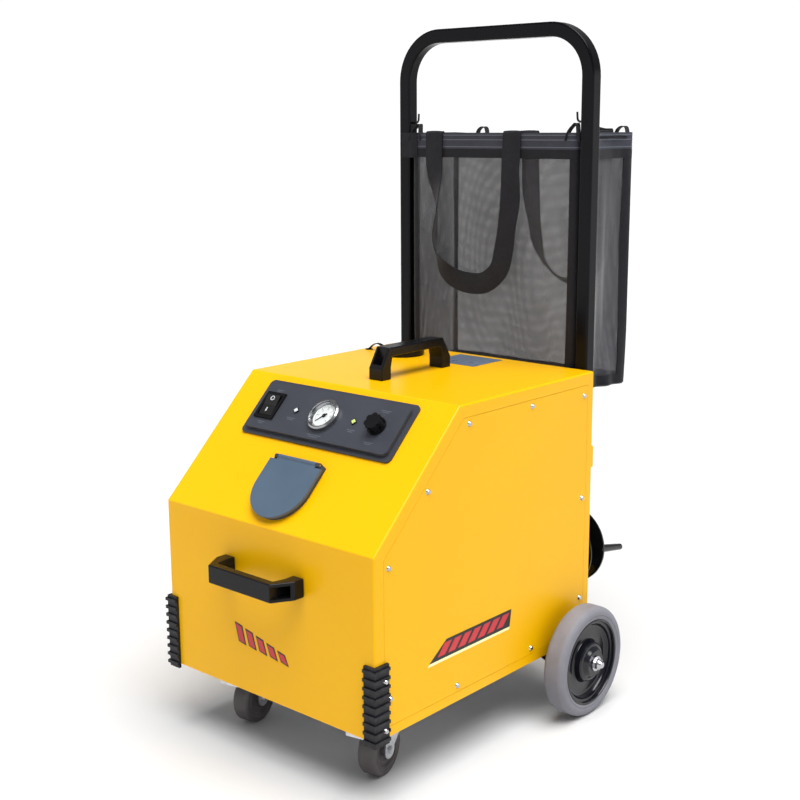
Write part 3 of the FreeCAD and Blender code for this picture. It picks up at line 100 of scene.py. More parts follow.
def polar(radius, turn, centre=(0, 0)):
    """A flat point at a radius and an angle in radians."""
    return centre[0] + radius * math.cos(turn), centre[1] + radius * math.sin(turn)


def facing(first, second, third):
    """A turn matrix from three directions."""
    return Matrix((first, second, third)).transposed().to_4x4()


def around(origin, axis):
    """A frame whose third direction is an axis, for turned pieces."""
    axis = Vector(axis).normalized()
    start = UP if abs(axis.z) < 0.9 else RIGHT
    first = start.cross(axis).normalized()
    return Place(origin, first, axis.cross(first), axis)


# --- meshes ---

def piece_from(name, points, faces, sharp=35, coords=None):
    """A mesh object from points in millimetres, with smooth faces and sharp creases."""
    mesh = bpy.data.meshes.new(name)
    mesh.from_pydata([tuple(Vector(p) * MM) for p in points], [], faces)
    mesh.validate()
    if coords:
        layer = mesh.uv_layers.new(name="cloth")
        for loop in mesh.loops:
            layer.data[loop.index].uv = coords[loop.vertex_index]
    mesh.polygons.foreach_set("use_smooth", [True] * len(mesh.polygons))
    if sharp:
        mesh.set_sharp_from_angle(angle=math.radians(sharp))
    obj = bpy.data.objects.new(name, mesh)
    bpy.context.scene.collection.objects.link(obj)
    return obj


def finish_piece(obj, body, material, replaces=()):
    """Give a piece its material and body, and hide the nodes it stands for."""
    obj.data.materials.append(material)
    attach(obj, body)
    if replaces:
        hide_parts(*replaces)
    return obj


def bevelled(obj, width):
    """A rounded edge on every crease, as a modifier."""
    modifier = obj.modifiers.new("edges", "BEVEL")
    modifier.width = width * MM
    modifier.segments = 2
    modifier.limit_method = "ANGLE"
    modifier.angle_limit = math.radians(30)
    modifier.harden_normals = True
    return obj


def turned(name, profile, place, steps, sharp=32):
    """A ring of revolution: a closed (radius, height) outline about a frame's third axis."""
    points = []
    for radius, height in profile:
        for step in range(steps):
            points.append(place.at(*polar(radius, 2 * math.pi * step / steps), height))
    rows = len(profile)
    faces = []
    for row in range(rows):
        here, below = row * steps, (row + 1) % rows * steps
        for step in range(steps):
            after = (step + 1) % steps
            faces.append((here + step, here + after, below + after, below + step))
    return piece_from(name, points, faces, sharp)


def arc(centre, radius, start, end, steps):
    """Profile points along an arc, with angles in degrees."""
    return [polar(radius, math.radians(start + (end - start) * step / steps), centre)
            for step in range(steps + 1)]


def slab(name, outline, place, low, high, hole=None, edge=0.0):
    """A plate: an outline in a frame's first two directions, thick along the third."""
    count = len(outline)
    points = [place.at(a, b, low) for a, b in outline]
    points += [place.at(a, b, high) for a, b in outline]
    faces = [(i, (i + 1) % count, count + (i + 1) % count, count + i) for i in range(count)]
    if hole is None:
        faces.append(tuple(range(count))[::-1])
        faces.append(tuple(range(count, 2 * count)))
    else:
        base = len(points)
        points += [place.at(a, b, low) for a, b in hole]
        points += [place.at(a, b, high) for a, b in hole]
        for i in range(count):
            after = (i + 1) % count
            faces.append((base + after, base + i, base + count + i, base + count + after))
            faces.append((i, base + i, base + after, after))
            faces.append((count + i, count + after, base + count + after, base + count + i))
    obj = piece_from(name, points, faces, sharp=30)
    if edge:
        bevelled(obj, edge)
    return obj


def joined(name, pieces):
    """One piece made of several, without joining operators."""
    points, faces = [], []
    for piece in pieces:
        start = len(points)
        points += [vertex.co / MM for vertex in piece.data.vertices]
        faces += [tuple(start + index for index in face.vertices) for face in piece.data.polygons]
        bpy.data.objects.remove(piece)
    return piece_from(name, points, faces, sharp=32)


def smooth_route(points, steps=8):
    """A Catmull-Rom curve through points of any dimension."""
    ends = [points[0] * 2 - points[1]] + list(points) + [points[-1] * 2 - points[-2]]
    route = []
    for index in range(1, len(ends) - 2):
        before, start, end, after = ends[index - 1:index + 3]
        for step in range(steps):
            t = step / steps
            route.append(0.5 * (2 * start + (end - before) * t
                                + (2 * before - 5 * start + 4 * end - after) * t ** 2
                                + (3 * start - before - 3 * end + after) * t ** 3))
    route.append(points[-1].copy())
    return route


# --- materials ---

def linear(red, green, blue):
    """A linear colour from 0-255 display values."""
    values = []
    for value in (red, green, blue):
        share = value / 255
        values.append(share / 12.92 if share <= 0.04045 else ((share + 0.055) / 1.055) ** 2.4)
    return (*values, 1.0)


class Surface:
    """A node material with mottled colour, varied roughness and a fine bump."""

    def __init__(self, name):
        self.material = bpy.data.materials.new(name)
        self.material.use_nodes = True
        self.nodes = self.material.node_tree.nodes
        self.links = self.material.node_tree.links
        self.shader = self.nodes["Principled BSDF"]
        self.coords = self.nodes.new("ShaderNodeTexCoord").outputs["Object"]
        self.heights = []

    def set(self, **values):
        """Put constant values on the shader's own sockets."""
        for name, value in values.items():
            self.shader.inputs[name.replace("_", " ")].default_value = value

    def noise(self, scale, detail=3.0, stretch=(1, 1, 1)):
        stretched = self.nodes.new("ShaderNodeMapping")
        stretched.inputs["Scale"].default_value = stretch
        self.links.new(self.coords, stretched.inputs["Vector"])
        texture = self.nodes.new("ShaderNodeTexNoise")
        texture.inputs["Scale"].default_value = scale
        texture.inputs["Detail"].default_value = detail
        texture.inputs["Roughness"].default_value = 0.55
        self.links.new(stretched.outputs["Vector"], texture.inputs["Vector"])
        return texture.outputs["Fac"]

    def ramp(self, source, stops):
        """A colour ramp: stops are (position, linear colour)."""
        node = self.nodes.new("ShaderNodeValToRGB")
        elements = node.color_ramp.elements
        while len(elements) < len(stops):
            elements.new(0.5)
        for element, (position, colour) in zip(elements, stops):
            element.position = position
            element.color = colour
        self.links.new(source, node.inputs["Fac"])
        return node.outputs["Color"]

    def span(self, source, low, high, start=0.3, end=0.7):
        node = self.nodes.new("ShaderNodeMapRange")
        node.inputs["From Min"].default_value = start
        node.inputs["From Max"].default_value = end
        node.inputs["To Min"].default_value = low
        node.inputs["To Max"].default_value = high
        self.links.new(source, node.inputs["Value"])
        return node.outputs["Result"]

    def mix(self, share, first, second):
        node = self.nodes.new("ShaderNodeMix")
        node.data_type = "RGBA"
        self.feed((node.inputs[0], node.inputs[6], node.inputs[7]), (share, first, second))
        return node.outputs[2]

    def feed(self, sockets, values):
        """Link or set each value on its socket."""
        for socket, value in zip(sockets, values):
            if isinstance(value, bpy.types.NodeSocket):
                self.links.new(value, socket)
            else:
                socket.default_value = value

    def part(self, output, axis):
        """One axis of the texture coordinates."""
        split = self.nodes.new("ShaderNodeSeparateXYZ")
        self.links.new(self.nodes.new("ShaderNodeTexCoord").outputs[output], split.inputs[0])
        return split.outputs[axis]

    def threads(self, axis, pitch):
        """A wave across the cloth, with its pitch in millimetres."""
        turns = self.math("MULTIPLY", self.part("UV", axis), 2 * math.pi / (pitch * MM))
        return self.math("SINE", turns)

    def math(self, operation, *values):
        node = self.nodes.new("ShaderNodeMath")
        node.operation = operation
        self.feed(node.inputs, values)
        return node.outputs["Value"]

    def colour(self, source):
        self.links.new(source, self.shader.inputs["Base Color"])

    def rough(self, source):
        self.links.new(source, self.shader.inputs["Roughness"])

    def bump(self, source, depth):
        """A bump of a depth in millimetres, on top of those before it."""
        node = self.nodes.new("ShaderNodeBump")
        node.inputs["Strength"].default_value = 1.0
        node.inputs["Distance"].default_value = depth * MM
        self.links.new(source, node.inputs["Height"])
        if self.heights:
            self.links.new(self.heights[-1], node.inputs["Normal"])
        self.heights.append(node.outputs["Normal"])
        self.links.new(node.outputs["Normal"], self.shader.inputs["Normal"])

    def worn(self, colour, worn_colour):
        """A little of another colour along the convex edges."""
        edge = self.span(self.nodes.new("ShaderNodeNewGeometry").outputs["Pointiness"],
                         0.0, 0.5, 0.52, 0.6)
        patch = self.span(self.noise(90, 4), 0.0, 1.0, 0.45, 0.6)
        return self.mix(self.math("MULTIPLY", edge, patch), colour, worn_colour)


def coated(name, dark, light, rough, peel=0.02, peel_scale=900, mottle=9, worn=None,
           shine=0.5):
    """Paint or moulded plastic: two near shades, a fine skin texture and worn edges."""
    surface = Surface(name)
    shade = surface.ramp(surface.noise(mottle), [(0.3, linear(*dark)), (0.7, linear(*light))])
    if worn:
        shade = surface.worn(shade, linear(*worn))
    surface.colour(shade)
    surface.rough(surface.span(surface.noise(35, 5), rough - 0.04, rough + 0.05))
    surface.bump(surface.noise(peel_scale, 2), peel)
    surface.set(Specular_IOR_Level=shine)
    return surface.material


def metal(name, dark, light, rough, grain=(1, 1, 1), scratch=0.01):
    """Bare or plated metal, with a directional grain where the metal is brushed."""
    surface = Surface(name)
    surface.colour(surface.ramp(surface.noise(60, 4, grain), [(0.3, dark), (0.7, light)]))
    surface.rough(surface.span(surface.noise(240, 4, grain), rough - 0.05, rough + 0.08))
    surface.bump(surface.noise(700, 3, grain), scratch)
    surface.set(Metallic=1.0)
    return surface.material


def yellow_paint():
    """Satin yellow powder coat with a light orange peel."""
    surface = Surface("yellow_powder_coat")
    surface.colour(surface.ramp(surface.noise(3, 2), [(0.3, (0.87, 0.45, 0.0, 1)),
                                                      (0.7, (0.9, 0.475, 0.001, 1))]))
    surface.rough(surface.span(surface.noise(7, 2), 0.28, 0.32, 0.2, 0.8))
    surface.bump(surface.noise(420, 2), 0.018)
    surface.bump(surface.noise(1500, 2), 0.006)
    surface.set(Specular_IOR_Level=0.22)
    return surface.material


def webbing_material(name, dark, light, pitch=1.7):
    """A woven strap: small ribs both ways from the piece's own cloth coordinates."""
    surface = Surface(name)
    dark, light = linear(*dark), linear(*light)
    across, along = surface.threads("X", pitch), surface.threads("Y", pitch / 0.8)
    weave = surface.math("MULTIPLY", across, along)
    height = surface.span(weave, 0.0, 1.0, -1.0, 1.0)
    shade = surface.ramp(height, [(0.25, dark), (0.8, light)])
    fade = surface.span(surface.noise(40, 4), 0.0, 0.5)
    surface.colour(surface.mix(fade, shade, light))
    surface.rough(surface.span(surface.noise(300, 3), 0.68, 0.85))
    surface.bump(height, 0.25)
    surface.set(Sheen_Weight=0.12, Sheen_Roughness=0.4, Specular_IOR_Level=0.25)
    return surface.material


def mesh_cloth():
    """Open mesh fabric: black threads both ways, clear between them, denser at the sides as
    painted shade.
    """
    surface = Surface("mesh_cloth")
    thread_pitch = 1.6
    threads = [surface.span(surface.threads(axis, thread_pitch), 0.42, 0.82, -0.5, 0.9)
               for axis in ("X", "Y")]
    cover = surface.math("MAXIMUM", *threads)
    cloud = surface.span(surface.noise(9, 3, (1, 1, 0.45)), 0.9, 1.1)
    cover = surface.math("MULTIPLY", cover, cloud)
    # Threads are denser where the wall faces sideways: painted shade on the side panels.
    painted_side_shade = surface.math("ABSOLUTE", surface.part("Normal", "X"))
    cover = surface.math("MULTIPLY", cover, surface.span(painted_side_shade, 1.0, 1.3, 0.3, 0.9))
    surface.colour(surface.ramp(surface.noise(16, 4), [(0.3, linear(26, 26, 33)),
                                                       (0.7, linear(42, 42, 51))]))
    surface.rough(surface.span(surface.noise(200, 3), 0.55, 0.7))
    surface.bump(cover, 0.15)
    surface.links.new(cover, surface.shader.inputs["Alpha"])
    surface.set(Sheen_Weight=0.25, Sheen_Roughness=0.5)
    return surface.material


def glass_material():
    surface = Surface("gauge_glass")
    surface.colour(surface.ramp(surface.noise(30), [(0.3, (0.96, 0.98, 1, 1)),
                                                    (0.7, (0.99, 1, 1, 1))]))
    surface.rough(surface.span(surface.noise(200, 5), 0.02, 0.06))
    surface.set(Transmission_Weight=1.0, IOR=1.08)
    return surface.material


YELLOW = yellow_paint()
SLATE = coated("slate_moulding", (50, 53, 61), (57, 60, 69), 0.45, 0.05, 700)
BLUE_GREY = coated("blue_grey_moulding", (70, 87, 105), (77, 95, 114), 0.42, 0.04, 800)
BLACK = coated("satin_black_moulding", (13, 13, 15), (19, 19, 22), 0.25, 0.012, 900, shine=0.2)
RIBBED = coated("ribbed_guard_moulding", (20, 21, 25), (30, 31, 36), 0.38, 0.05, 600,
                worn=(50, 50, 56), shine=0.25)
GLOSS = coated("gloss_black", (10, 10, 12), (16, 16, 18), 0.14, 0.008, 500, shine=0.4)
TUBE = coated("tube_powder_coat", (8, 8, 12), (13, 13, 18), 0.17, 0.008, 500, shine=0.13)
RIM = coated("gloss_rim", (15, 16, 22), (24, 25, 33), 0.17, 0.006, 400, shine=0.45)
TYRE = coated("grey_tyre_rubber", (118, 118, 126), (128, 128, 136), 0.72, 0.06, 500, mottle=30)
CASTER = coated("caster_rubber", (70, 65, 66), (82, 77, 78), 0.5, 0.04, 600, mottle=25)
CHROME = metal("bright_plate", (0.42, 0.43, 0.46, 1), (0.56, 0.57, 0.6, 1), 0.14)
BEZEL = metal("gauge_bezel", (0.3, 0.3, 0.31, 1), (0.42, 0.42, 0.43, 1), 0.2)
ZINC = metal("zinc_plate", (0.5, 0.51, 0.54, 1), (0.66, 0.67, 0.7, 1), 0.3)
STEEL = metal("brushed_steel", (0.5, 0.51, 0.53, 1), (0.66, 0.66, 0.68, 1), 0.3, (1, 1, 12))
GALVANISED = metal("galvanised_sheet", (0.5, 0.52, 0.55, 1), (0.7, 0.72, 0.75, 1), 0.42)
BRASS = metal("brass", (0.62, 0.44, 0.17, 1), (0.78, 0.58, 0.26, 1), 0.3)
COPPER = metal("copper_tube", (0.6, 0.32, 0.2, 1), (0.76, 0.44, 0.3, 1), 0.3)
DIAL = coated("dial_enamel", (222, 222, 218), (232, 232, 229), 0.4, 0.01, 600)
INK = coated("printed_black", (18, 18, 20), (28, 28, 30), 0.5, 0.01, 900)
WHITE_INK = coated("printed_white", (214, 216, 220), (226, 228, 230), 0.5, 0.01, 900)
RED_INK = coated("printed_red", (186, 34, 44), (204, 44, 52), 0.42, 0.01, 900)
CREAM_INK = coated("printed_cream", (240, 236, 165), (247, 243, 180), 0.45, 0.01, 900)
# Grey print; the same grey also paints the sheen lines on the bag's rim band.
GREY_PRINT_AND_SHEEN = coated("grey_print_and_painted_sheen", (84, 88, 98), (96, 100, 110), 0.5, 0.01, 900)
WHITE_PLASTIC = coated("white_tank_plastic", (206, 208, 208), (220, 222, 222), 0.45)
LAMP_CLEAR = coated("lamp_clear", (196, 200, 204), (222, 226, 230), 0.16, 0.01)
LAMP_GREEN = coated("lamp_green", (176, 196, 96), (204, 222, 128), 0.16, 0.01)
PLATE = coated("blank_plate", (88, 102, 122), (100, 114, 134), 0.3, 0.01, 600)
GLASS = glass_material()
WEBBING = webbing_material("webbing_black", (15, 15, 20), (30, 30, 37))
RIM_BAND = webbing_material("bag_rim_cloth", (42, 43, 53), (66, 68, 80), 1.1)
BINDING = webbing_material("bag_binding", (14, 14, 19), (28, 28, 35), 1.3)
MESH = mesh_cloth()

CARRIED = {
    YELLOW: ["outer_cover", "side_panel_left", "side_panel_right", "rear_panel",
             "handle_mount_straps"],
    GALVANISED: ["base_tray"],
    BLACK: ["front_handle", "top_handle", "rocker_housing", "steam_knob",
            "steam_outlet_socket", "filler_cap", "filler_neck", "cap_tether", "reel_bracket",
            "axle_brackets", "pump", "control_box", "power_inlet"],
    RIBBED: ["corner_guards"],
    GLOSS: ["power_rocker", "cord_reel", "gauge_needle", "bag_hooks"],
    SLATE: ["panel_bezel", "outlet_frame"],
    BLUE_GREY: ["outlet_flap"],
    CHROME: ["cover_screws", "trim_screws", "handle_bolts", "rear_axle"],
    BEZEL: ["gauge_case"],
    STEEL: ["flap_hinge_pin", "boiler"],
    ZINC: ["caster_mount_plates", "caster_fork_left", "caster_fork_right",
           "brake_pedal_left", "brake_pedal_right"],
    TUBE: ["cart_handle", "bag_rim_wire"],
    DIAL: ["gauge_dial"],
    GLASS: ["gauge_lens"],
    LAMP_CLEAR: ["indicator_lamps"],
    TYRE: ["rear_tyre_left", "rear_tyre_right"],
    RIM: ["rear_rim_left", "rear_rim_right"],
    CASTER: ["caster_core_left", "caster_core_right", "caster_tyre_left",
             "caster_tyre_right"],
    MESH: ["bag"],
    WEBBING: ["bag_strap_front", "bag_strap_rear"],
    PLATE: ["blank_plates"],
    BRASS: ["steam_valve"],
    COPPER: ["heating_element", "pipework"],
    WHITE_PLASTIC: ["water_tank"],
}


def dress_cad_nodes():
    """Give every carried-over CAD node its material."""
    for material, names in CARRIED.items():
        for name in names:
            data = frame["nodes"][name].data
            data.materials.clear()
            data.materials.append(material)


# --- camera, light, floor ---

CAMERA_AT = Vector((1.2268, -1.3978, 0.8628))
CAMERA_TURN = math.radians(41.4587)
CAMERA_RISE = math.radians(11.9612)
CAMERA_ROLL = math.radians(-0.2804)
CAMERA_LENS = 58.16
DOME = 0.3
SUN_POWER = 4.5
SUN_FROM = (0.26, -0.1, 0.96)
SUN_ANGLE = math.radians(50)
SOFTBOXES = {"right_softbox": ((2.6, 0.9, 1.3), 3.5), "left_softbox": ((-2.4, -1.6, 1.6), 2)}
SOFTBOX_WIDE, SOFTBOX_TALL = 0.7, 2.0
MACHINE_MIDDLE = Vector((0, 0, 0.5))
FLOOR_REACH = 60000


def add_camera():
    """The camera, with CAMERA_AT and the lights' places in metres."""
    back = Vector((math.sin(CAMERA_TURN) * math.cos(CAMERA_RISE),
                   -math.cos(CAMERA_TURN) * math.cos(CAMERA_RISE), math.sin(CAMERA_RISE)))
    level = Vector((math.cos(CAMERA_TURN), math.sin(CAMERA_TURN), 0))
    upright = back.cross(level)
    right = level * math.cos(CAMERA_ROLL) + upright * math.sin(CAMERA_ROLL)
    above = upright * math.cos(CAMERA_ROLL) - level * math.sin(CAMERA_ROLL)
    camera = bpy.data.objects.new("camera", bpy.data.cameras.new("camera"))
    camera.data.lens = CAMERA_LENS
    camera.data.clip_start = 0.05
    camera.matrix_world = Matrix.Translation(CAMERA_AT) @ facing(right, above, back)
    bpy.context.scene.collection.objects.link(camera)
    bpy.context.scene.camera = camera


def add_world():
    """A surround that is white near the horizon and dimmer overhead."""
    world = bpy.data.worlds.new("surround")
    world.use_nodes = True
    nodes, links = world.node_tree.nodes, world.node_tree.links
    split = nodes.new("ShaderNodeSeparateXYZ")
    links.new(nodes.new("ShaderNodeTexCoord").outputs["Generated"], split.inputs[0])
    rise = nodes.new("ShaderNodeMapRange")
    for name, value in (("From Min", 0.1), ("From Max", 0.17), ("To Min", 1.05),
                        ("To Max", DOME)):
        rise.inputs[name].default_value = value
    links.new(split.outputs["Z"], rise.inputs["Value"])
    links.new(rise.outputs["Result"], nodes["Background"].inputs["Strength"])
    nodes["Background"].inputs["Color"].default_value = (1, 1, 1, 1)
    bpy.context.scene.world = world


def add_studio():
    """A wide soft overhead light, two weak softboxes and a pale floor."""
    add_world()
    sun = bpy.data.objects.new("overhead", bpy.data.lights.new("overhead", "SUN"))
    sun.data.energy = SUN_POWER
    sun.data.angle = SUN_ANGLE
    sun.rotation_euler = Vector(SUN_FROM).to_track_quat("Z", "Y").to_euler()
    bpy.context.scene.collection.objects.link(sun)
    for name, (at, power) in SOFTBOXES.items():
        light = bpy.data.objects.new(name, bpy.data.lights.new(name, "AREA"))
        light.data.shape = "RECTANGLE"
        light.data.size, light.data.size_y = SOFTBOX_WIDE, SOFTBOX_TALL
        light.data.energy = power
        light.location = at
        aim = MACHINE_MIDDLE - Vector(at)
        light.rotation_euler = aim.to_track_quat("-Z", "Y").to_euler()
        bpy.context.scene.collection.objects.link(light)
    bpy.context.scene.view_settings.view_transform = "Standard"
    corners = [(x * FLOOR_REACH, y * FLOOR_REACH, 0)
               for x, y in ((-1, -1), (1, -1), (1, 1), (-1, 1))]
    floor = piece_from("floor", corners, [(0, 1, 2, 3)])
    surface = Surface("floor_paper")
    surface.colour(surface.ramp(surface.noise(2), [(0.3, (0.63, 0.63, 0.63, 1)),
                                                   (0.7, (0.65, 0.65, 0.65, 1))]))
    surface.rough(surface.span(surface.noise(5), 0.85, 0.9))
    surface.set(Specular_IOR_Level=0.1)
    floor.data.materials.append(surface.material)


# --- sloping controls ---

def outward(node):
    """How far a node reaches out of the sloping face, as a distance along its normal."""
    return max((vertex.co / MM).dot(SLOPE_OUT) for vertex in frame["nodes"][node].data.vertices)


def on_slope(x, up, out):
    """A frame at a place on the slope: x, and distances along the slope's own axes."""
    return Place(RIGHT * x + SLOPE_UP * up + SLOPE_OUT * out, RIGHT, SLOPE_UP, SLOPE_OUT)


def up_slope(point):
    return Vector(point).dot(SLOPE_UP)


def ring(radius, thick, steps=40):
    """Outer and inner outlines of a flat ring."""
    turns = [2 * math.pi * step / steps for step in range(steps)]
    return [polar(radius, t) for t in turns], [polar(radius - thick, t) for t in turns]


def bar(centre, half_long, half_wide, turn=0.0):
    """The four corners of a bar's outline, turned by an angle in radians."""
    corners = []
    for along, across in ((-1, -1), (1, -1), (1, 1), (-1, 1)):
        a, b = along * half_long, across * half_wide
        corners.append((centre[0] + a * math.cos(turn) - b * math.sin(turn),
                        centre[1] + a * math.sin(turn) + b * math.cos(turn)))
    return corners


def add_rocker_marks():
    """A ring and a bar moulded into the rocker, for off and on."""
    at = middle_of("power_rocker")
    place = on_slope(at.x, up_slope(at), outward("power_rocker"))
    ring_radius, ring_thick = 3.6, 0.9
    bar_half_wide, bar_half_tall = 0.55, 3.2
    from_middle = 9.5
    outer, inner = ([(a, b + from_middle) for a, b in outline]
                    for outline in ring(ring_radius, ring_thick))
    off_mark = slab("rocker_mark_off", outer, place, -2.4, -0.1, hole=inner)
    finish_piece(off_mark, "power_rocker", WHITE_INK)
    bar_outline = bar((0, -from_middle), bar_half_wide, bar_half_tall)
    on_mark = slab("rocker_mark_on", bar_outline, place, -2.4, -0.9)
    finish_piece(on_mark, "power_rocker", WHITE_INK)


DIAL_SWEEP, DIAL_START = 270, 225
DIAL_STEPS, DIAL_NUMBERS = 30, 7
NUMBER_RADIUS, NUMBER_SIZE = 10.8, 3.6


def add_dial_marks():
    """Graduations and numbers on the pressure dial."""
    centre = hinge_point("gauge_needle_sweep")
    place = on_slope(centre.x, up_slope(centre), outward("gauge_dial"))
    marks = []
    for step in range(DIAL_STEPS + 1):
        turn = math.radians(DIAL_START - DIAL_SWEEP * step / DIAL_STEPS)
        radius, half_long, half_wide = (14.2, 1.7, 0.28) if step % 5 == 0 else (15.0, 0.9, 0.16)
        outline = bar(polar(radius, turn), half_long, half_wide, turn)
        marks.append(slab("mark", outline, place, 0.0, 0.12))
    finish_piece(joined("dial_graduations", marks), "chassis", INK)
    for step in range(DIAL_NUMBERS):
        turn = math.radians(DIAL_START - DIAL_SWEEP * step / (DIAL_NUMBERS - 1))
        text = bpy.data.curves.new(f"dial_number_{step}", "FONT")
        text.body = str(step)
        text.size = NUMBER_SIZE * MM
        text.align_x, text.align_y = "CENTER", "CENTER"
        text.extrude = 0.05 * MM
        number = bpy.data.objects.new(f"dial_number_{step}", text)
        bpy.context.scene.collection.objects.link(number)
        spot = place.at(*polar(NUMBER_RADIUS, turn), 0.1) * MM
        number.matrix_world = Matrix.Translation(spot) @ facing(RIGHT, SLOPE_UP, SLOPE_OUT)
        finish_piece(number, "chassis", INK)


def add_gauge_details():
    """The bezel's deep inner wall, and the needle's hub."""
    centre = hinge_point("gauge_needle_sweep")
    dial, lens = outward("gauge_dial"), outward("gauge_lens")
    place = around(RIGHT * centre.x + SLOPE_UP * up_slope(centre), SLOPE_OUT)
    foot, deep = dial + 0.1, lens - 1.4
    wall = [(21.3, foot), (18.2, foot), (18.4, dial + 0.9), (20.6, deep), (21.3, deep)]
    inner_wall = turned("gauge_inner_wall", wall, place, 96)
    finish_piece(inner_wall, "chassis", BEZEL)
    needle = outward("gauge_needle")
    bore, radius = 0.9, 3.0
    low, high = needle - 0.2, needle + 0.8
    profile = [(bore, low), (radius, low), (radius, high - 0.4), (radius - 0.6, high),
               (bore, high)]
    hub = turned("gauge_hub", profile, place, 40)
    finish_piece(hub, "gauge_needle", GLOSS)


PRINT_THICK = 0.05
KNOB_TICK_RADIUS = 19
# Each group of print: x, the distance up the slope from the knob, half its width.
PANEL_PRINT = [(-108.5, 27.5, 7), (-108.5, -27.5, 7), (-58, -13, 8), (0, -32, 13), (58, -13, 7)]


def add_panel_print():
    """Faint generic lines where the panel has its small print, and the knob's ticks."""
    knob = hinge_point("steam_knob_turn")
    place = on_slope(0, up_slope(knob), outward("panel_bezel"))
    marks = []
    for x, up, half in PANEL_PRINT + [(knob.x, 26, 9), (knob.x, -26, 8)]:
        for shift, size in ((0, half), (2.6, half * 0.65)):
            outline = bar((x, up - shift), size, 0.45)
            marks.append(slab("mark", outline, place, 0, PRINT_THICK))
    ticks = 7
    for step in range(ticks):
        turn = math.radians(-45 + 270 * step / (ticks - 1))
        spot = polar(KNOB_TICK_RADIUS, turn, (knob.x, 0))
        marks.append(slab("mark", bar(spot, 1.2, 0.35, turn), place, 0, 0.06))
    finish_piece(joined("panel_print", marks), "chassis", GREY_PRINT_AND_SHEEN)


LENS_HALF, LAMP_FRAME_HALF = 2.9, 3.6
LAMP_DEEP = 3.0


def add_lamps():
    """Two small square lamp lenses, set cornerwise in thin frames."""
    low, high = limits("indicator_lamps")
    face = outward("indicator_lamps")
    up = up_slope(hinge_point("gauge_needle_sweep"))
    lamps = {"left": (low.x + LAMP_FRAME_HALF, LAMP_CLEAR, ("indicator_lamps",)),
             "right": (high.x - LAMP_FRAME_HALF, LAMP_GREEN, ())}
    for name, (x, material, replaced) in lamps.items():
        place = on_slope(x, up, face)
        inner = bar((0, 0), LENS_HALF, LENS_HALF, math.pi / 4)
        outer = bar((0, 0), LAMP_FRAME_HALF, LAMP_FRAME_HALF, math.pi / 4)
        lens = slab(f"lamp_{name}", inner, place, -LAMP_DEEP, 0.0, edge=0.7)
        finish_piece(lens, "chassis", material, replaced)
        rim = slab(f"lamp_rim_{name}", outer, place, -LAMP_DEEP, -0.9, hole=inner)
        finish_piece(rim, "chassis", BLACK)


# --- soft pieces ---

BAG_LOW, BAG_HIGH = limits("bag")
CLOTH_ROOM = 1.5
BAG_FRONT, BAG_REAR = BAG_LOW.y + CLOTH_ROOM, BAG_HIGH.y - CLOTH_ROOM
BAG_RIM, BAG_FLOOR = BAG_HIGH.z, BAG_LOW.z
BAG_HALF = BAG_HIGH.x - CLOTH_ROOM
# The front of the bag is narrower, where it passes between the handle's legs.
NECK_HALF = BAG_HALF - 15
NECK_REAR = BAG_FRONT + 22
BAG_ROWS = 56
FLOOR_RINGS = 9


def bag_ring():
    """The bag's outline from above, as points with the number of its panel.

    It starts at the middle of the front and runs by the right side, the rear and the left.
    """
    def run(start, end, steps, panel):
        start, end = Vector(start), Vector(end)
        return [(start.lerp(end, step / steps), panel) for step in range(steps)]

    corners = [(0, BAG_FRONT), (NECK_HALF, BAG_FRONT), (NECK_HALF, NECK_REAR),
               (BAG_HALF, NECK_REAR + 5), (BAG_HALF, BAG_REAR), (0, BAG_REAR)]
    steps = [26, 4, 3, 18, 30]
    panels = ["front", "neck", "neck", "side", "rear"]
    right = []
    for index in range(5):
        right += run(corners[index], corners[index + 1], steps[index], panels[index])
    right.append((Vector(corners[-1]), "rear"))
    left = [(Vector((-point.x, point.y)), panel) for point, panel in right[1:-1]][::-1]
    return right + left


def rounded_ring(ring_points):
    """Soften the outline's corners by averaging neighbours twice."""
    points = [point.copy() for point, _ in ring_points]
    for _ in range(2):
        count = len(points)
        points = [(points[i - 1] + points[i] * 2 + points[(i + 1) % count]) / 4
                  for i in range(count)]
    return [(point, panel) for point, (_, panel) in zip(points, ring_points)]


def slack(share_across, depth, panel, x):
    """How far a wall moves inward, in millimetres, at a depth from 0 at the rim to 1."""
    belly = math.sin(math.pi * min(depth * 1.02, 1.0))
    if panel == "front":
        wide = 1 - (x / NECK_HALF) ** 2
        folds = 2.2 * math.sin(x / 17 + 3 * depth) * max(belly, 0.0) ** 0.5
        folds += 1.6 * math.sin(x / 9.3 - 5 * depth + 1.0) * depth
        return 7 * belly * wide + folds * depth
    if panel == "rear":
        wide = 1 - (x / BAG_HALF) ** 2
        folds = 2.6 * math.sin(x / 22 + 2.2 * depth + 0.6) + 1.5 * math.sin(x / 11 - 4 * depth)
        return -1 + 5 * belly * wide + (folds + 3) * depth * 0.9
    if panel == "side":
        folds = 3.2 * math.sin(share_across * 9.0 + 4.6 * depth + 0.4)
        folds += 1.8 * math.sin(share_across * 19 - 6.8 * depth)
        crease = 0.52 + 0.16 * math.sin(3.4 * depth)
        gusset = 1 - abs(share_across - crease) / max(crease, 1 - crease)
        return 3 + 19 * gusset * min(0.25 + depth, 1) * (1 - 0.4 * depth ** 3) + folds * depth
    return 0.0


BAG_RING = rounded_ring(bag_ring())


